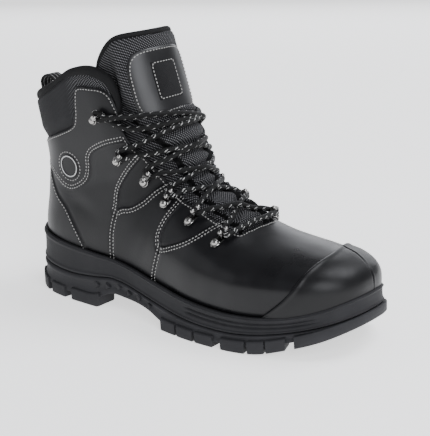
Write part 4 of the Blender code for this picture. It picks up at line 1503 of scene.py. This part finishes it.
def add_loop(work, centre, out, up, across):
    """A closed band round the lace, with two balls on it."""
    middle, thick = (RING_RADIUS + RING_BORE) / 2, (RING_RADIUS - RING_BORE) / 2
    turn = np.linspace(0, 2 * np.pi, RING_TURNS, endpoint=False)
    wide, high = [np.sign(part) * np.abs(part) ** RING_SQUARENESS for part in (np.cos(turn), np.sin(turn))]
    spread = spokes(ROUND_SIDES, across, out)
    profile = zip(middle + thick * high, RING_WIDTH / 2 * wide)
    loops = [centre + radius * spread + end * up for radius, end in profile]
    work.grid(np.array([*loops, loops[0]]), 1, closed=True)
    for swing in np.radians((-BALL_SWING, BALL_SWING)):
        way = math.cos(swing) * out + math.sin(swing) * across
        add_ball(work, centre + RING_RADIUS * way, BALL_RADIUS, up, across, out)


def add_hook(work, centre, out, up, across):
    """An open band that holds the lace, with a ball at its tip."""
    turn = np.radians(np.linspace(*HOOK_SWING, HOOK_GRID[0]))[:, None]
    arc = centre + HOOK_BEND * (np.sin(turn) * out - np.cos(turn) * across)
    width = np.linspace(-0.5, 0.5, HOOK_GRID[1]) * HOOK_WIDTH
    band = arc[:, None] + width[:, None] * up
    skin = HOOK_SKIN * unit(arc - centre)[:, None]
    pillow(work, band + skin, band - skin, HOOK_SKIN)
    add_ball(work, arc[-1], HOOK_BALL, up, across, out)


def build_fitting(name, node, seat, add_holder):
    """A riveted plate with the loop or hook that holds the lace."""
    place, out, up, across, lift = seat
    work = Patchwork()
    add_plate(work, place, up, across, lift)
    add_rivet(work, place, out, up, across, lift)
    add_holder(work, *band_axes(seat))
    work.piece(name, [FINISHES["metal"], FINISHES["plate"]], [node])


# The lace
LACE_RADIUS = 2.2
LACE_DRAWN = 2.05
LACE_CLEARANCE = 0.8
LACE_POINTS = 14
LACE_STEP = 4.0
LACE_PULLS = 60
LACE_SIDES = 20
LACE_LIFT_SHARE = 0.25
LACE_ASIDE = RING_RADIUS + 1.2
LACE_APART = 3.4
LACE_OVER = 2.6
LACE_UNDER = 1.0
LACE_HUMP = 8.0
LACE_RING = 0.62
FLECK_PERIOD = 7.4
FLECK_LENGTH = 2.4
FLECK_LANES = 2
FLECK_LEAN = 3
FLECK_STARTS = (4, 7)
LACE_SETTLE = 2
LACE_EASE = 12
BRAID_LOBES = 4
BRAID_PITCH = 2.1
BRAID_BASE = 0.97
BRAID_RELIEF = 0.05
BOW_CLEARANCE = 4.0

# The two dashes of a fleck: shift along the lace, and sides round it
FLECK_PAIR = [(0.0, 0), (1.0, 3)]

# The lace's way through a band: distance up, and distance across to the throat
BAND_WAY = [(-3.3, 1.4), (-1.2, -0.1), (1.2, -0.1), (3.3, 1.4)]

# The strands that bow under the tongue's patch, a row for each bend: angle across, then levels
BOWED = table(
    "across bar cross",
    (-56, 0.768, 0.648),
    (-42, 0.71, 0.637),
    (-26, 0.674, 0.634),
    (-12, 0.658, 0.634),
    (2, 0.653, 0.637),
    (14, 0.66, 0.645),
    (28, 0.68, 0.667),
    (44, 0.724, 0.71),
    (58, 0.768, 0.75),
)


def laid(path, start, end):
    """A path on the last lifted to a strand's middle, with its ends brought to two points."""
    path = settle(resample(path, LACE_STEP))
    t = np.linspace(0, 1, len(path))
    path = path + (LACE_RADIUS + LACE_CLEARANCE) * normals(path)
    near_start = 1 - ramp(t, (0, LACE_LIFT_SHARE))
    near_end = ramp(t, (1 - LACE_LIFT_SHARE, 1))
    return path + near_start[:, None] * (start - path[0]) + near_end[:, None] * (end - path[-1])


def strand(start, end):
    """Lace path over the instep between two points just above the last, pulled tight."""
    t = np.linspace(0, 1, LACE_POINTS)
    up, across = instep_place(np.array([start, end]))
    path = instep(up[0] + (up[1] - up[0]) * t, across[0] + (across[1] - across[0]) * t)
    for _ in range(LACE_PULLS):
        path[1:-1] = settle((path[:-2] + path[2:]) / 2, LACE_SETTLE)
    return laid(path, start, end)


def bowed_strand(start, end, levels):
    """Lace path over the instep that bows below the tongue's patch."""
    up, across = instep_place(np.array([start, end]))
    bends = BOWED["across"]
    inside_ends = (bends > across[0] + BOW_CLEARANCE) & (bends < across[1] - BOW_CLEARANCE)
    across = np.concatenate([across[:1], bends[inside_ends], across[1:]])
    up = np.concatenate([up[:1], BOWED[levels][inside_ends], up[1:]])
    return laid(spline(instep(up, across), LACE_STEP), start, end)


def pass_over(path, other):
    """A strand lifted over another where they cross, and the other one pressed in below it."""
    gaps = np.linalg.norm(path[:, None] - other[None], axis=-1)
    moved = []
    for line, near, rise in ((path, gaps.min(axis=1), LACE_OVER), (other, gaps.min(axis=0), -LACE_UNDER)):
        length = run_length(line)
        hump = rise * ridge(length - length[np.argmin(near)], LACE_HUMP)
        moved.append(line + hump[:, None] * normals(line))
    return moved


def band_ways(side):
    """Points that lead the lace up through each band of a side: in from below and out above."""
    centre, _, up, across = band_axes(seats(side))
    beside_band = centre + LACE_ASIDE * across
    low, high = beside_band - LACE_APART * up, beside_band + LACE_APART * up
    through = [centre + rise * up + aside * across for rise, aside in BAND_WAY]
    return low, high, np.stack(through, 1)


def fleck_slots(path, start_side):
    """Finish of each face of the lace: pairs of thin pale dashes that slant round the braid."""
    length = run_length(path)[:-1]
    side = np.arange(LACE_SIDES)
    slots = np.zeros((len(length), LACE_SIDES), int)
    for lane in range(FLECK_LANES):
        turn = start_side + lane * LACE_SIDES / FLECK_LANES
        for shift, step in FLECK_PAIR:
            at = (length + shift + lane * FLECK_PERIOD / FLECK_LANES) % FLECK_PERIOD
            lean = np.floor(at / FLECK_LENGTH * FLECK_LEAN)
            place = (side[None] - turn - step - lean[:, None]) % LACE_SIDES
            slots[(at < FLECK_LENGTH)[:, None] & (place < 1.0)] = 1
    return slots


def lace_paths():
    """Both halves of the lace, from the middle of the bottom bar up through every band."""
    low, high, through = {}, {}, {}
    for side in SIDES.values():
        low[side], high[side], through[side] = band_ways(side)
    count = len(EYELETS["x"])
    runs = {side: [] for side in SIDES.values()}
    for k in range(count - 1):
        if k == count - 2:
            first = bowed_strand(high[-1][k], low[1][k + 1], "cross")
        else:
            first = strand(high[-1][k], low[1][k + 1])
        second = strand(high[1][k], low[-1][k + 1])
        if k % 2:
            first, second = pass_over(first, second)
        else:
            second, first = pass_over(second, first)
        runs[-1].append(first)
        runs[1].append(second)
    bottom = strand(low[-1][0], low[1][0])
    top, runs[-1][-1] = pass_over(bowed_strand(high[-1][-1], high[1][-1], "bar"), runs[-1][-1])
    middle, half = len(bottom) // 2, len(top) // 2
    paths = []
    for side, begin in ((-1, bottom[middle::-1]), (1, bottom[middle:])):
        path = [begin[:-1]]
        here = side
        for k in range(count):
            path.append(through[here][k])
            if k < count - 1:
                path.append(runs[here][k][1:-1])
                here = -here
        path.append(top[1:half + 1] if here < 0 else top[-2:half - 1:-1])
        paths.append(spline(np.concatenate(path), LACE_RING))
    return paths


def build_lace(paths):
    """Both halves of the lace as braided tubes with pale flecks."""
    work = Patchwork()
    turn = np.arange(LACE_SIDES) * 2 * np.pi / LACE_SIDES
    for path, fleck_start in zip(paths, FLECK_STARTS):
        along = BRAID_PITCH * LACE_RING * np.arange(len(path))[:, None]
        weave = np.cos(BRAID_LOBES * turn + along) * np.cos(BRAID_LOBES * turn - along)
        radius = LACE_DRAWN * (BRAID_BASE + BRAID_RELIEF * weave)
        out = normals(path)
        for _ in range(LACE_EASE):
            out[1:-1] = unit(out[:-2] + 2 * out[1:-1] + out[2:])
        tube(work, path, radius, LACE_SIDES, out, fleck_slots(path, fleck_start))
    crossings = [f"lace_cross_{k + 1}" for k in range(len(EYELETS["x"]) - 1)]
    nodes = crossings + ["lace_bar_bottom", "lace_bar_top"]
    work.piece("lace", [FINISHES["lace"], FINISHES["fleck"]], nodes)


# The toe bumper, a row for each point of its rear edge from the lateral to the medial rim
BUMPER_EDGE = table(
    "turn x y z",
    (-1, 247, -43, 30),
    (-0.75, 258, -40, 40),
    (-0.5, 265.5, -32, 51),
    (-0.25, 269, -17, 59),
    (0, 269, 2, 61.5),
    (0.25, 265.5, 20, 61),
    (0.5, 259, 36, 56),
    (0.75, 251, 45, 45),
    (1, 243, 47, 31),
)
BUMPER_END = 0.275
BUMPER_STATIONS = 280
BUMPER_LEVELS = 70
BUMPER_EASE = 30
BUMPER_GAP = 0.2
BUMPER_THICKNESS = 2.6
BUMPER_LIFT = -2.0
MOULD_LINE = table("up turn", (0.0, 0.155), (0.35, 0.155), (0.7, 0.22), (1.0, 0.3))
MOULD_WIDTH = 0.45
MOULD_DEPTH = 0.4
MOULD_REACH = 62.0
BUMPER_THIN = 0.75
BUMPER_TAPER = (0.0, 14.0)
BUMPER_SINK = 0.6
BUMPER_ROUND = 1.3
LIP_RISE = 0.5
LIP_PLACE = 2.2
LIP_WIDTH = 1.6


def build_bumper():
    """The moulded scuff cap over the toe, thin at its rear edge."""
    turn = np.linspace(-1, 1, BUMPER_STATIONS + 1)
    sides = np.where(turn < 0, -1, 1)
    feet, _ = ring(lambda x: rim_height(x) + BUMPER_LIFT, np.abs(turn) * BUMPER_END, sides)
    edge = np.stack([curve(BUMPER_EDGE, axis, turn) for axis in "xyz"], -1)
    sheet, lengths = drape(feet, settle(edge, SETTLE_FAR), BUMPER_LEVELS)
    sheet = eased(sheet, BUMPER_EASE)
    out = unit(eased(normals(sheet), 2 * BUMPER_EASE))
    up = np.linspace(0, 1, BUMPER_LEVELS + 1)[:, None]
    line = curve(MOULD_LINE, "turn", up)
    gap = (turn[None] - line) * MOULD_REACH
    groove = MOULD_DEPTH * (ridge(gap, MOULD_WIDTH) - 0.5 * ridge(gap - 2 * MOULD_WIDTH, MOULD_WIDTH))
    below_top = (1 - up) * lengths
    lip = LIP_RISE * ridge(below_top - LIP_PLACE, LIP_WIDTH)
    full = BUMPER_THIN + (1 - BUMPER_THIN) * ramp(below_top, BUMPER_TAPER)
    thickness = BUMPER_GAP + BUMPER_THICKNESS * full + lip - groove
    work = Patchwork()
    pillow(work, sheet + thickness[..., None] * out, sheet - BUMPER_SINK * out, BUMPER_ROUND)
    work.piece("toe_cap_bumper", [FINISHES["bumper"]], ["toe_bumper"])


# The sole
SOLE_HALF = 240
SIDE_ROWS = 44
GROOVE_LEVELS = (0.42, 0.66)
GROOVE_START = (181.0, 186.0)
GROOVE_END = (0.09, 0.15)
GROOVE_DEPTH = 1.15
GROOVE_WIDTH = 0.75
RIM_RADIUS = 1.4
RIM_TURNS = (30, 60, 90, 130)
RIM_OUT = 0.3
RIM_RISE = 0.8
SPLIT_INSET = 1.6
MIDSOLE_ROUND = 0.07
OUTLINE_EASE = 8
LEVEL_EASE = 60


class Outline:
    """The sole's outline at the rim, from which every loop of the sole is moved out."""

    def __init__(self, base, level, spine, shares, sides):
        self.base, self.level, self.spine = base, level, spine
        self.shares, self.sides = shares, sides

    @classmethod
    def whole(cls, half):
        """The closed outline, smoothed over the tip of the toe."""
        shares, sides = around(half)
        base, level = ring(rim_height, shares, sides)
        spine, _ = stance(shares)
        base, level = eased(base, OUTLINE_EASE, True), unit(eased(level, LEVEL_EASE, True))
        return cls(base, level, upright(spine, 0 * spine), shares, sides)

    def between(self, signed):
        """The part of the outline at signed stations, lateral ones below zero."""
        keys = self.shares * self.sides
        parts = []
        for values in (self.base, self.level, self.spine):
            parts.append(np.stack([np.interp(signed, keys, values[:, k], period=2) for k in range(3)], -1))
        wrapped = (signed + 1) % 2 - 1
        return Outline(*parts, np.abs(wrapped), np.where(wrapped < 0, -1.0, 1.0))

    def loop(self, margin, height):
        """The outline moved out by a margin, at a height for each x."""
        points = self.base + np.asarray(margin)[..., None] * self.level
        points[:, 2] = height(points[:, 0])
        return points

    def middle(self, share, height):
        """A loop drawn in towards the spine: share 1 lies on it."""
        points = self.base + (self.spine - self.base) * share
        points[:, 2] = height(points[:, 0])
        return points


# Ridges along the sole's sides, a row for each: level from bottom to top, width and rise
MIDSOLE_RIDGES = table("level width rise", (0.1, 0.06, 0.7), (0.5, 0.28, -0.3), (0.93, 0.06, 0.9))
OUTSOLE_RIDGES = table("level width rise", (0.16, 0.09, 0.7), (0.5, 0.22, -0.6))


def side_shape(ridges, level):
    """Rise of a sole's side over its plain slope at a level."""
    return sum(rise * ridge(level - at, width) for at, width, rise in zip(*ridges.values()))


def build_midsole(outline):
    """The cup sole: its underside, ridged sides, rounded rim and the floor inside."""
    def height(level):
        return lambda x: split_height(x) + GAP + level * (rim_height(x) - split_height(x) - GAP)

    rows = [outline.middle(share, height(0)) for share in (1, 0.6, 0.2)]
    rows.append(outline.loop(SPLIT_MARGIN - SPLIT_INSET, height(0)))
    x = outline.base[:, 0]
    tall = rim_height(x) - split_height(x) - GAP
    fade = ramp(x, GROOVE_START) * ramp(outline.shares, GROOVE_END)
    for k in np.linspace(0, 1, SIDE_ROWS):
        margin = SPLIT_MARGIN * (1 - k) + RIM_MARGIN * k + side_shape(MIDSOLE_RIDGES, k)
        margin = margin - (1 - edge_profile(k, MIDSOLE_ROUND))
        grooves = sum(ridge((k - level) * tall, GROOVE_WIDTH) for level in GROOVE_LEVELS)
        rows.append(outline.loop(margin - GROOVE_DEPTH * grooves * fade, height(k)))
    for turn in np.radians(RIM_TURNS):
        margin = RIM_MARGIN + RIM_OUT - RIM_RADIUS * (1 - math.cos(turn))
        rows.append(outline.loop(margin, lambda x, s=math.sin(turn): rim_height(x) + RIM_RISE * s))
    rows.append(outline.loop(CUP_GAP, lambda x: rim_height(x) - RIM_RISE))
    rows.append(outline.loop(CUP_GAP, floor_height))
    rows.extend(outline.middle(share, floor_height) for share in (0.3, 1))
    work = Patchwork()
    work.grid(np.array(rows), closed=True)
    work.piece("cup_midsole", [FINISHES["midsole"]], ["midsole"])


# Lugs round the edge of the tread, a row for each: first and last station
EDGE_LUGS = table(
    "first last",
    (0.188, 0.247),
    (0.252, 0.3),
    (0.305, 0.35),
    (0.366, 0.404),
    (0.409, 0.446),
    (0.451, 0.488),
    (0.66, 0.735),
    (0.755, 0.82),
    (0.845, 0.915),
)
TOE_LUG = 0.165
HEEL_LUG = 0.06

# Lugs inside the edge, a row for each pair: middle x, distance from the middle line, length and width
MIDDLE_LUGS = table(
    "x gap length width",
    (32, 8, 11, 10),
    (52, 9, 12, 12),
    (72, 8, 11, 10),
    (168, 10, 12, 13),
    (186, 12, 13, 15),
    (205, 13, 13, 16),
    (224, 13, 13, 16),
)
LUG_CORNERS = [(-1, 0), (-0.6, -1), (0.6, -1), (1, 0), (0.6, 1), (-0.6, 1)]
LUG_BEVEL = 0.9
LUG_OUT = 6.7
LUG_LEDGE = 3.4
LUG_DRAFT = 0.0012
LUG_TOP_DRAFT = 1.4 * LUG_DRAFT
LUG_SPACING = 0.006
LUG_LEAST_STEPS = 6
LUG_ROOT = 2.0
LUG_INNER_ROOT = 2.2
LUG_TOP = 0.86
LUG_MIDDLE = 0.02

# Studs on the flank of the arch, a row for each: x, share of the height, radius and corners
STUDS = table(
    "x share radius corners",
    (86, 0.66, 3.0, 4),
    (97, 0.5, 3.2, 3),
    (109, 0.62, 2.8, 4),
    (121, 0.48, 2.8, 3),
    (133, 0.6, 2.6, 4),
    (145, 0.5, 2.4, 3),
)
STUD_SINK = 0.9
FAR_SIDE = 1000.0

# A stud's section: share of its radius, and height
STUD_SECTION = [(1.0, 0.0), (0.9, 1.2), (0.75, 1.5), (0.3, 1.5)]

# The outsole's band
OUTSOLE_ROWS = 30
OUTSOLE_ROUND = 0.1
OUTSOLE_TOP_INSET = 1.5
OUTSOLE_ROOT_INSET = 0.6


def edge_lug(work, outline, first, last):
    """A bevelled lug on the edge of the tread between two signed stations, lateral ones below zero."""
    count = max(int((last - first) / LUG_SPACING), LUG_LEAST_STEPS)
    inner = LUG_MARGIN - LUG_LENGTH
    profile = [
        (LUG_OUT - 1.2, root_height, LUG_LEDGE + 0.9, 0),
        (LUG_OUT - 0.3, root_height, LUG_LEDGE + 0.3, 0),
        (LUG_OUT, root_height, LUG_LEDGE - 0.6, 0),
        (LUG_OUT, tread_height, LUG_BEVEL, LUG_DRAFT),
        (LUG_OUT - LUG_BEVEL, tread_height, 0, LUG_TOP_DRAFT),
        (inner + LUG_BEVEL, tread_height, 0, LUG_TOP_DRAFT),
        (inner, tread_height, LUG_BEVEL, LUG_DRAFT),
        (inner, root_height, LUG_INNER_ROOT, 0),
    ]
    rows = []
    for margin, level, rise, draft in profile:
        signed = np.linspace(first + draft, last - draft, count + 1)
        rows.append(outline.between(signed).loop(margin, lambda x, f=level, r=rise: f(x) + r))
    grid = np.array(rows).transpose(1, 0, 2)
    ends = [np.broadcast_to(loop.mean(axis=0), (1, *loop.shape)) for loop in (grid[0], grid[-1])]
    work.grid(np.concatenate([ends[0], grid, ends[1]]), closed=True)


def middle_lug(work, x, y, length, width):
    """A bevelled six-sided lug inside the edge of the tread."""
    profile = [
        (LUG_MIDDLE, root_height, LUG_ROOT),
        (1.0, root_height, LUG_ROOT),
        (1.0, tread_height, LUG_BEVEL),
        (LUG_TOP, tread_height, 0),
        (LUG_MIDDLE, tread_height, 0),
    ]
    rows = []
    for share, level, rise in profile:
        corners = np.array(LUG_CORNERS) * (length / 2, width / 2) * share + (x, y)
        rows.append(np.column_stack([corners, level(corners[:, 0]) + rise]))
    work.grid(np.array(rows), closed=True)


def add_studs(work, outline, side):
    """The studs on one flank of the arch."""
    for x, share, radius, corners in zip(*STUDS.values()):
        near = np.argmin(np.abs(outline.base[:, 0] - x) + FAR_SIDE * (outline.sides != side))
        out = outline.level[near]
        height = root_height(x) * (1 - share) + split_height(x) * share
        centre = outline.base[near] * (1, 1, 0) + (ROOT_MARGIN - STUD_SINK) * out + (0, 0, height)
        ahead = np.cross((0, 0, 1), out)
        profile = [(radius * part, rise) for part, rise in STUD_SECTION]
        turned(work, profile, int(corners), centre, ahead, np.array([0, 0, 1.0]), out)


def build_outsole(outline):
    """The rubber tread: its band, lugs round the edge and inside it, and studs on the arch."""
    rows = [outline.middle(share, lambda x: split_height(x) - 0.1) for share in (1, 0.5)]
    for k in np.linspace(0, 1, OUTSOLE_ROWS):
        margin = SPLIT_MARGIN + (ROOT_MARGIN - SPLIT_MARGIN) * k + side_shape(OUTSOLE_RIDGES, k)
        margin = margin - OUTSOLE_TOP_INSET * (1 - edge_profile(k, OUTSOLE_ROUND))
        margin = margin - OUTSOLE_ROOT_INSET * (1 - edge_profile(1 - k, OUTSOLE_ROUND))
        rows.append(outline.loop(margin, lambda x, k=k: split_height(x) * (1 - k) + root_height(x) * k))
    rows.extend(outline.middle(share, root_height) for share in (0.12, 0.4, 0.7, 1))
    work = Patchwork()
    work.grid(np.array(rows), closed=True)
    edge_lug(work, outline, -TOE_LUG, TOE_LUG)
    edge_lug(work, outline, 1 - HEEL_LUG, 1 + HEEL_LUG)
    for first, last in zip(EDGE_LUGS["first"], EDGE_LUGS["last"]):
        edge_lug(work, outline, first, last)
        edge_lug(work, outline, -last, -first)
    for x, gap, length, width in zip(*MIDDLE_LUGS.values()):
        middle_lug(work, x, -gap, length, width)
        middle_lug(work, x, gap, length, width)
    for side in SIDES.values():
        add_studs(work, outline, side)
    work.piece("lug_outsole", [FINISHES["outsole"]], ["outsole"])


# The footbed
INSOLE_THICKNESS = 4.0
INSOLE_GAP = 0.7
INSOLE_HALF = 90
INSOLE_DISH = 1.2
INSOLE_CORE = 3.0
INSOLE_EDGE = 0.3


def build_insole():
    """The footbed, a little dished along its middle."""
    shares, sides = around(INSOLE_HALF)
    height = INSOLE_GAP + INSOLE_THICKNESS
    high, level = ring(lambda x: floor_height(x) + height, shares, sides)
    low, low_level = ring(lambda x: floor_height(x) + INSOLE_GAP, shares, sides)
    spine, _ = stance(shares)
    spine = upright(spine, floor_height(spine) + height - INSOLE_DISH)
    high = high - (WALL + INSOLE_GAP + INSOLE_EDGE) * level
    low = low - (WALL + INSOLE_GAP) * low_level
    rows = [low + (spine - (0, 0, INSOLE_CORE) - low) * share for share in (1, 0.5)]
    rows += [low, high + (0, 0, INSOLE_EDGE)]
    rows += [high + (spine - high) * share for share in (0.08, 0.3, 0.6, 0.8, 1)]
    work = Patchwork()
    work.grid(np.array(rows), closed=True)
    work.piece("footbed", [FINISHES["lining"]], ["insole"])


# The pull loop, a row for each bend of its tape in the middle plane
PULL_LOOP = table(
    "turn x z",
    (0, 9.6, 128),
    (1, 7.6, 141),
    (2, 0.6, 154),
    (3, -1.5, 164),
    (4, 5, 169),
    (5, 13, 165),
    (6, 17.5, 155),
)
PULL_WIDTH = 13.0
PULL_THICKNESS = 1.4
PULL_STEPS = 90
PULL_COLUMNS = 27
PULL_STRIPES = (0.2, 0.5, 0.8)
PULL_STITCHES = (3, 8)
PULL_EDGE = 0.7
PULL_STITCH_ENDS = (2.0, 1.0)


def build_pull_loop():
    """The loop of webbing at the back of the collar, with its stripes and two rows of stitches."""
    turn = np.linspace(0, PULL_LOOP["turn"][-1], PULL_STEPS + 1)
    path = upright(curve(PULL_LOOP, "x", turn), curve(PULL_LOOP, "z", turn))
    side = unit(np.cross(np.gradient(path, axis=0), (0, 1, 0)))[:, None]
    width = np.linspace(-0.5, 0.5, PULL_COLUMNS)
    across = np.stack([0 * width, width * PULL_WIDTH, 0 * width], -1)
    middle = path[:, None] + across
    lines = np.zeros(PULL_COLUMNS - 1, int)
    for stripe in PULL_STRIPES:
        lines[int(stripe * (PULL_COLUMNS - 1))] = 1
    work = Patchwork()
    half = PULL_THICKNESS / 2 * side
    slots = np.broadcast_to(lines, (PULL_STEPS, PULL_COLUMNS - 1))
    pillow(work, middle + half, middle - half, PULL_EDGE, slots, slots)
    work.piece("heel_pull_loop", [FINISHES["webbing"], FINISHES["stripe"]], ["pull_loop"])
    ahead = unit(np.gradient(path, axis=0))
    first, last = PULL_STITCH_ENDS[0] - PULL_WIDTH / 2, PULL_WIDTH / 2 - PULL_STITCH_ENDS[1]
    frames = []
    for row in PULL_STITCHES:
        out = -side[row, 0] * np.sign(side[row, 0, 0])
        centre = path[row] + (PULL_THICKNESS / 2) * out
        for place in np.arange(first, last, STITCH_PITCH):
            frames.append((centre + (0, place, 0), np.array([0, 1.0, 0]), ahead[row], out))
    sew("pull_loop_stitching", frames)


def build_boot():
    """Every piece of the boot."""
    build_upper()
    build_stitches()
    build_badge()
    laces = lace_paths()
    build_tongue(laces)
    build_patch("tongue_patch", PATCH, "patch")
    build_patch("tongue_label", LABEL, "label")
    for name, side in SIDES.items():
        *for_loops, for_hook = zip(*seats(side))
        for k, seat in enumerate(for_loops, 1):
            build_fitting(f"loop_{name}_{k}", f"eyelet_{name}_{k}", seat, add_loop)
        build_fitting(f"speed_hook_{name}", f"hook_{name}", for_hook, add_hook)
    build_lace(laces)
    build_bumper()
    outline = Outline.whole(SOLE_HALF)
    build_midsole(outline)
    build_outsole(outline)
    build_insole()
    build_pull_loop()


# Camera, in the photograph's frame of pixels
PHOTO_WIDTH = 430
PHOTO_HEIGHT = 436
CAMERA_AZIMUTH = 40.31
CAMERA_ELEVATION = 16.22
CAMERA_ROLL = -2.04
CAMERA_DISTANCE = 900.0
CAMERA_FOCUS = 1201.24
CAMERA_CENTRE = (196.15, 207.88)
CAMERA_TARGET = np.array([152.0, 0.0, 80.0])


def build_camera():
    """The camera that sees the boot as the photograph does."""
    data = bpy.data.cameras.new("camera")
    data.lens = CAMERA_FOCUS * data.sensor_width / PHOTO_HEIGHT
    data.shift_x = (PHOTO_WIDTH / 2 - CAMERA_CENTRE[0]) / PHOTO_HEIGHT
    data.shift_y = (CAMERA_CENTRE[1] - PHOTO_HEIGHT / 2) / PHOTO_HEIGHT
    data.clip_start = 0.01
    a, e, r = np.radians([CAMERA_AZIMUTH, CAMERA_ELEVATION, CAMERA_ROLL])
    back = np.array([math.sin(a) * math.cos(e), -math.cos(a) * math.cos(e), math.sin(e)])
    right = np.array([math.cos(a), math.sin(a), 0])
    up = np.cross(back, right)
    aside = math.cos(r) * right + math.sin(r) * up
    above = -math.sin(r) * right + math.cos(r) * up
    camera = added("camera", data)
    turn = Matrix((aside, above, back)).transposed().to_4x4()
    place = (CAMERA_TARGET - ORIGIN + CAMERA_DISTANCE * back) * MM
    camera.matrix_world = Matrix.Translation(Vector(place)) @ turn
    bpy.context.scene.camera = camera


# Studio lights, a row for each: bearing (0 is the outer side, 90 the toe) and height in degrees,
# distance, width and height in metres, and brightness
LIGHTS = table(
    "bearing rise distance width height brightness",
    (62, 28, 1.8, 1.0, 1.2, 6.0),
    (-45, 22, 1.9, 1.6, 1.1, 1.0),
    (-152, 16, 1.9, 2.4, 0.7, 2.7),
    (140, 58, 1.9, 1.2, 1.0, 7.5),
)
LIGHT_AIM = np.array([0.0, 0.0, 0.08])
WORLD_BRIGHTNESS = 0.3
FLOOR_SIZE = 8.0
FLOOR_GLOW = 1.15
LIGHT_TINT = (0.94, 0.955, 1.0)


def build_stage():
    """The pale floor, the studio's dim surroundings and its lights."""
    mesh = bpy.data.meshes.new("floor")
    half = FLOOR_SIZE / 2
    corners = [(-half, -half, 0), (half, -half, 0), (half, half, 0), (-half, half, 0)]
    mesh.from_pydata(corners, [], [(0, 1, 2, 3)])
    floor = added("floor", mesh)
    glow = dict(Emission_Color=(1.0, 1.0, 1.0, 1.0), Emission_Strength=FLOOR_GLOW)
    pale = Finish("pale floor", (0.9, 0.9, 0.9), 0.8, Specular_IOR_Level=0.1, **glow)
    mesh.materials.append(pale.material)
    world = bpy.data.worlds.new("studio")
    world.use_nodes = True
    shade = world.node_tree.nodes["Background"]
    shade.inputs["Color"].default_value = (*LIGHT_TINT, 1.0)
    shade.inputs["Strength"].default_value = WORLD_BRIGHTNESS
    bpy.context.scene.world = world
    for k, (bearing, rise, distance, width, height, brightness) in enumerate(zip(*LIGHTS.values())):
        turn, lift = math.radians(bearing), math.radians(rise)
        way = np.array([math.sin(turn) * math.cos(lift), -math.cos(turn) * math.cos(lift), math.sin(lift)])
        data = bpy.data.lights.new(f"softbox_{k}", "AREA")
        data.shape = "RECTANGLE"
        data.size, data.size_y = width, height
        data.color = LIGHT_TINT
        data.energy = brightness * math.pi * width * height
        lamp = added(f"softbox_{k}", data)
        lamp.location = LIGHT_AIM + distance * way
        lamp.rotation_euler = Vector(-way).to_track_quat("-Z", "Y").to_euler()


build_camera()
build_stage()
build_boot()
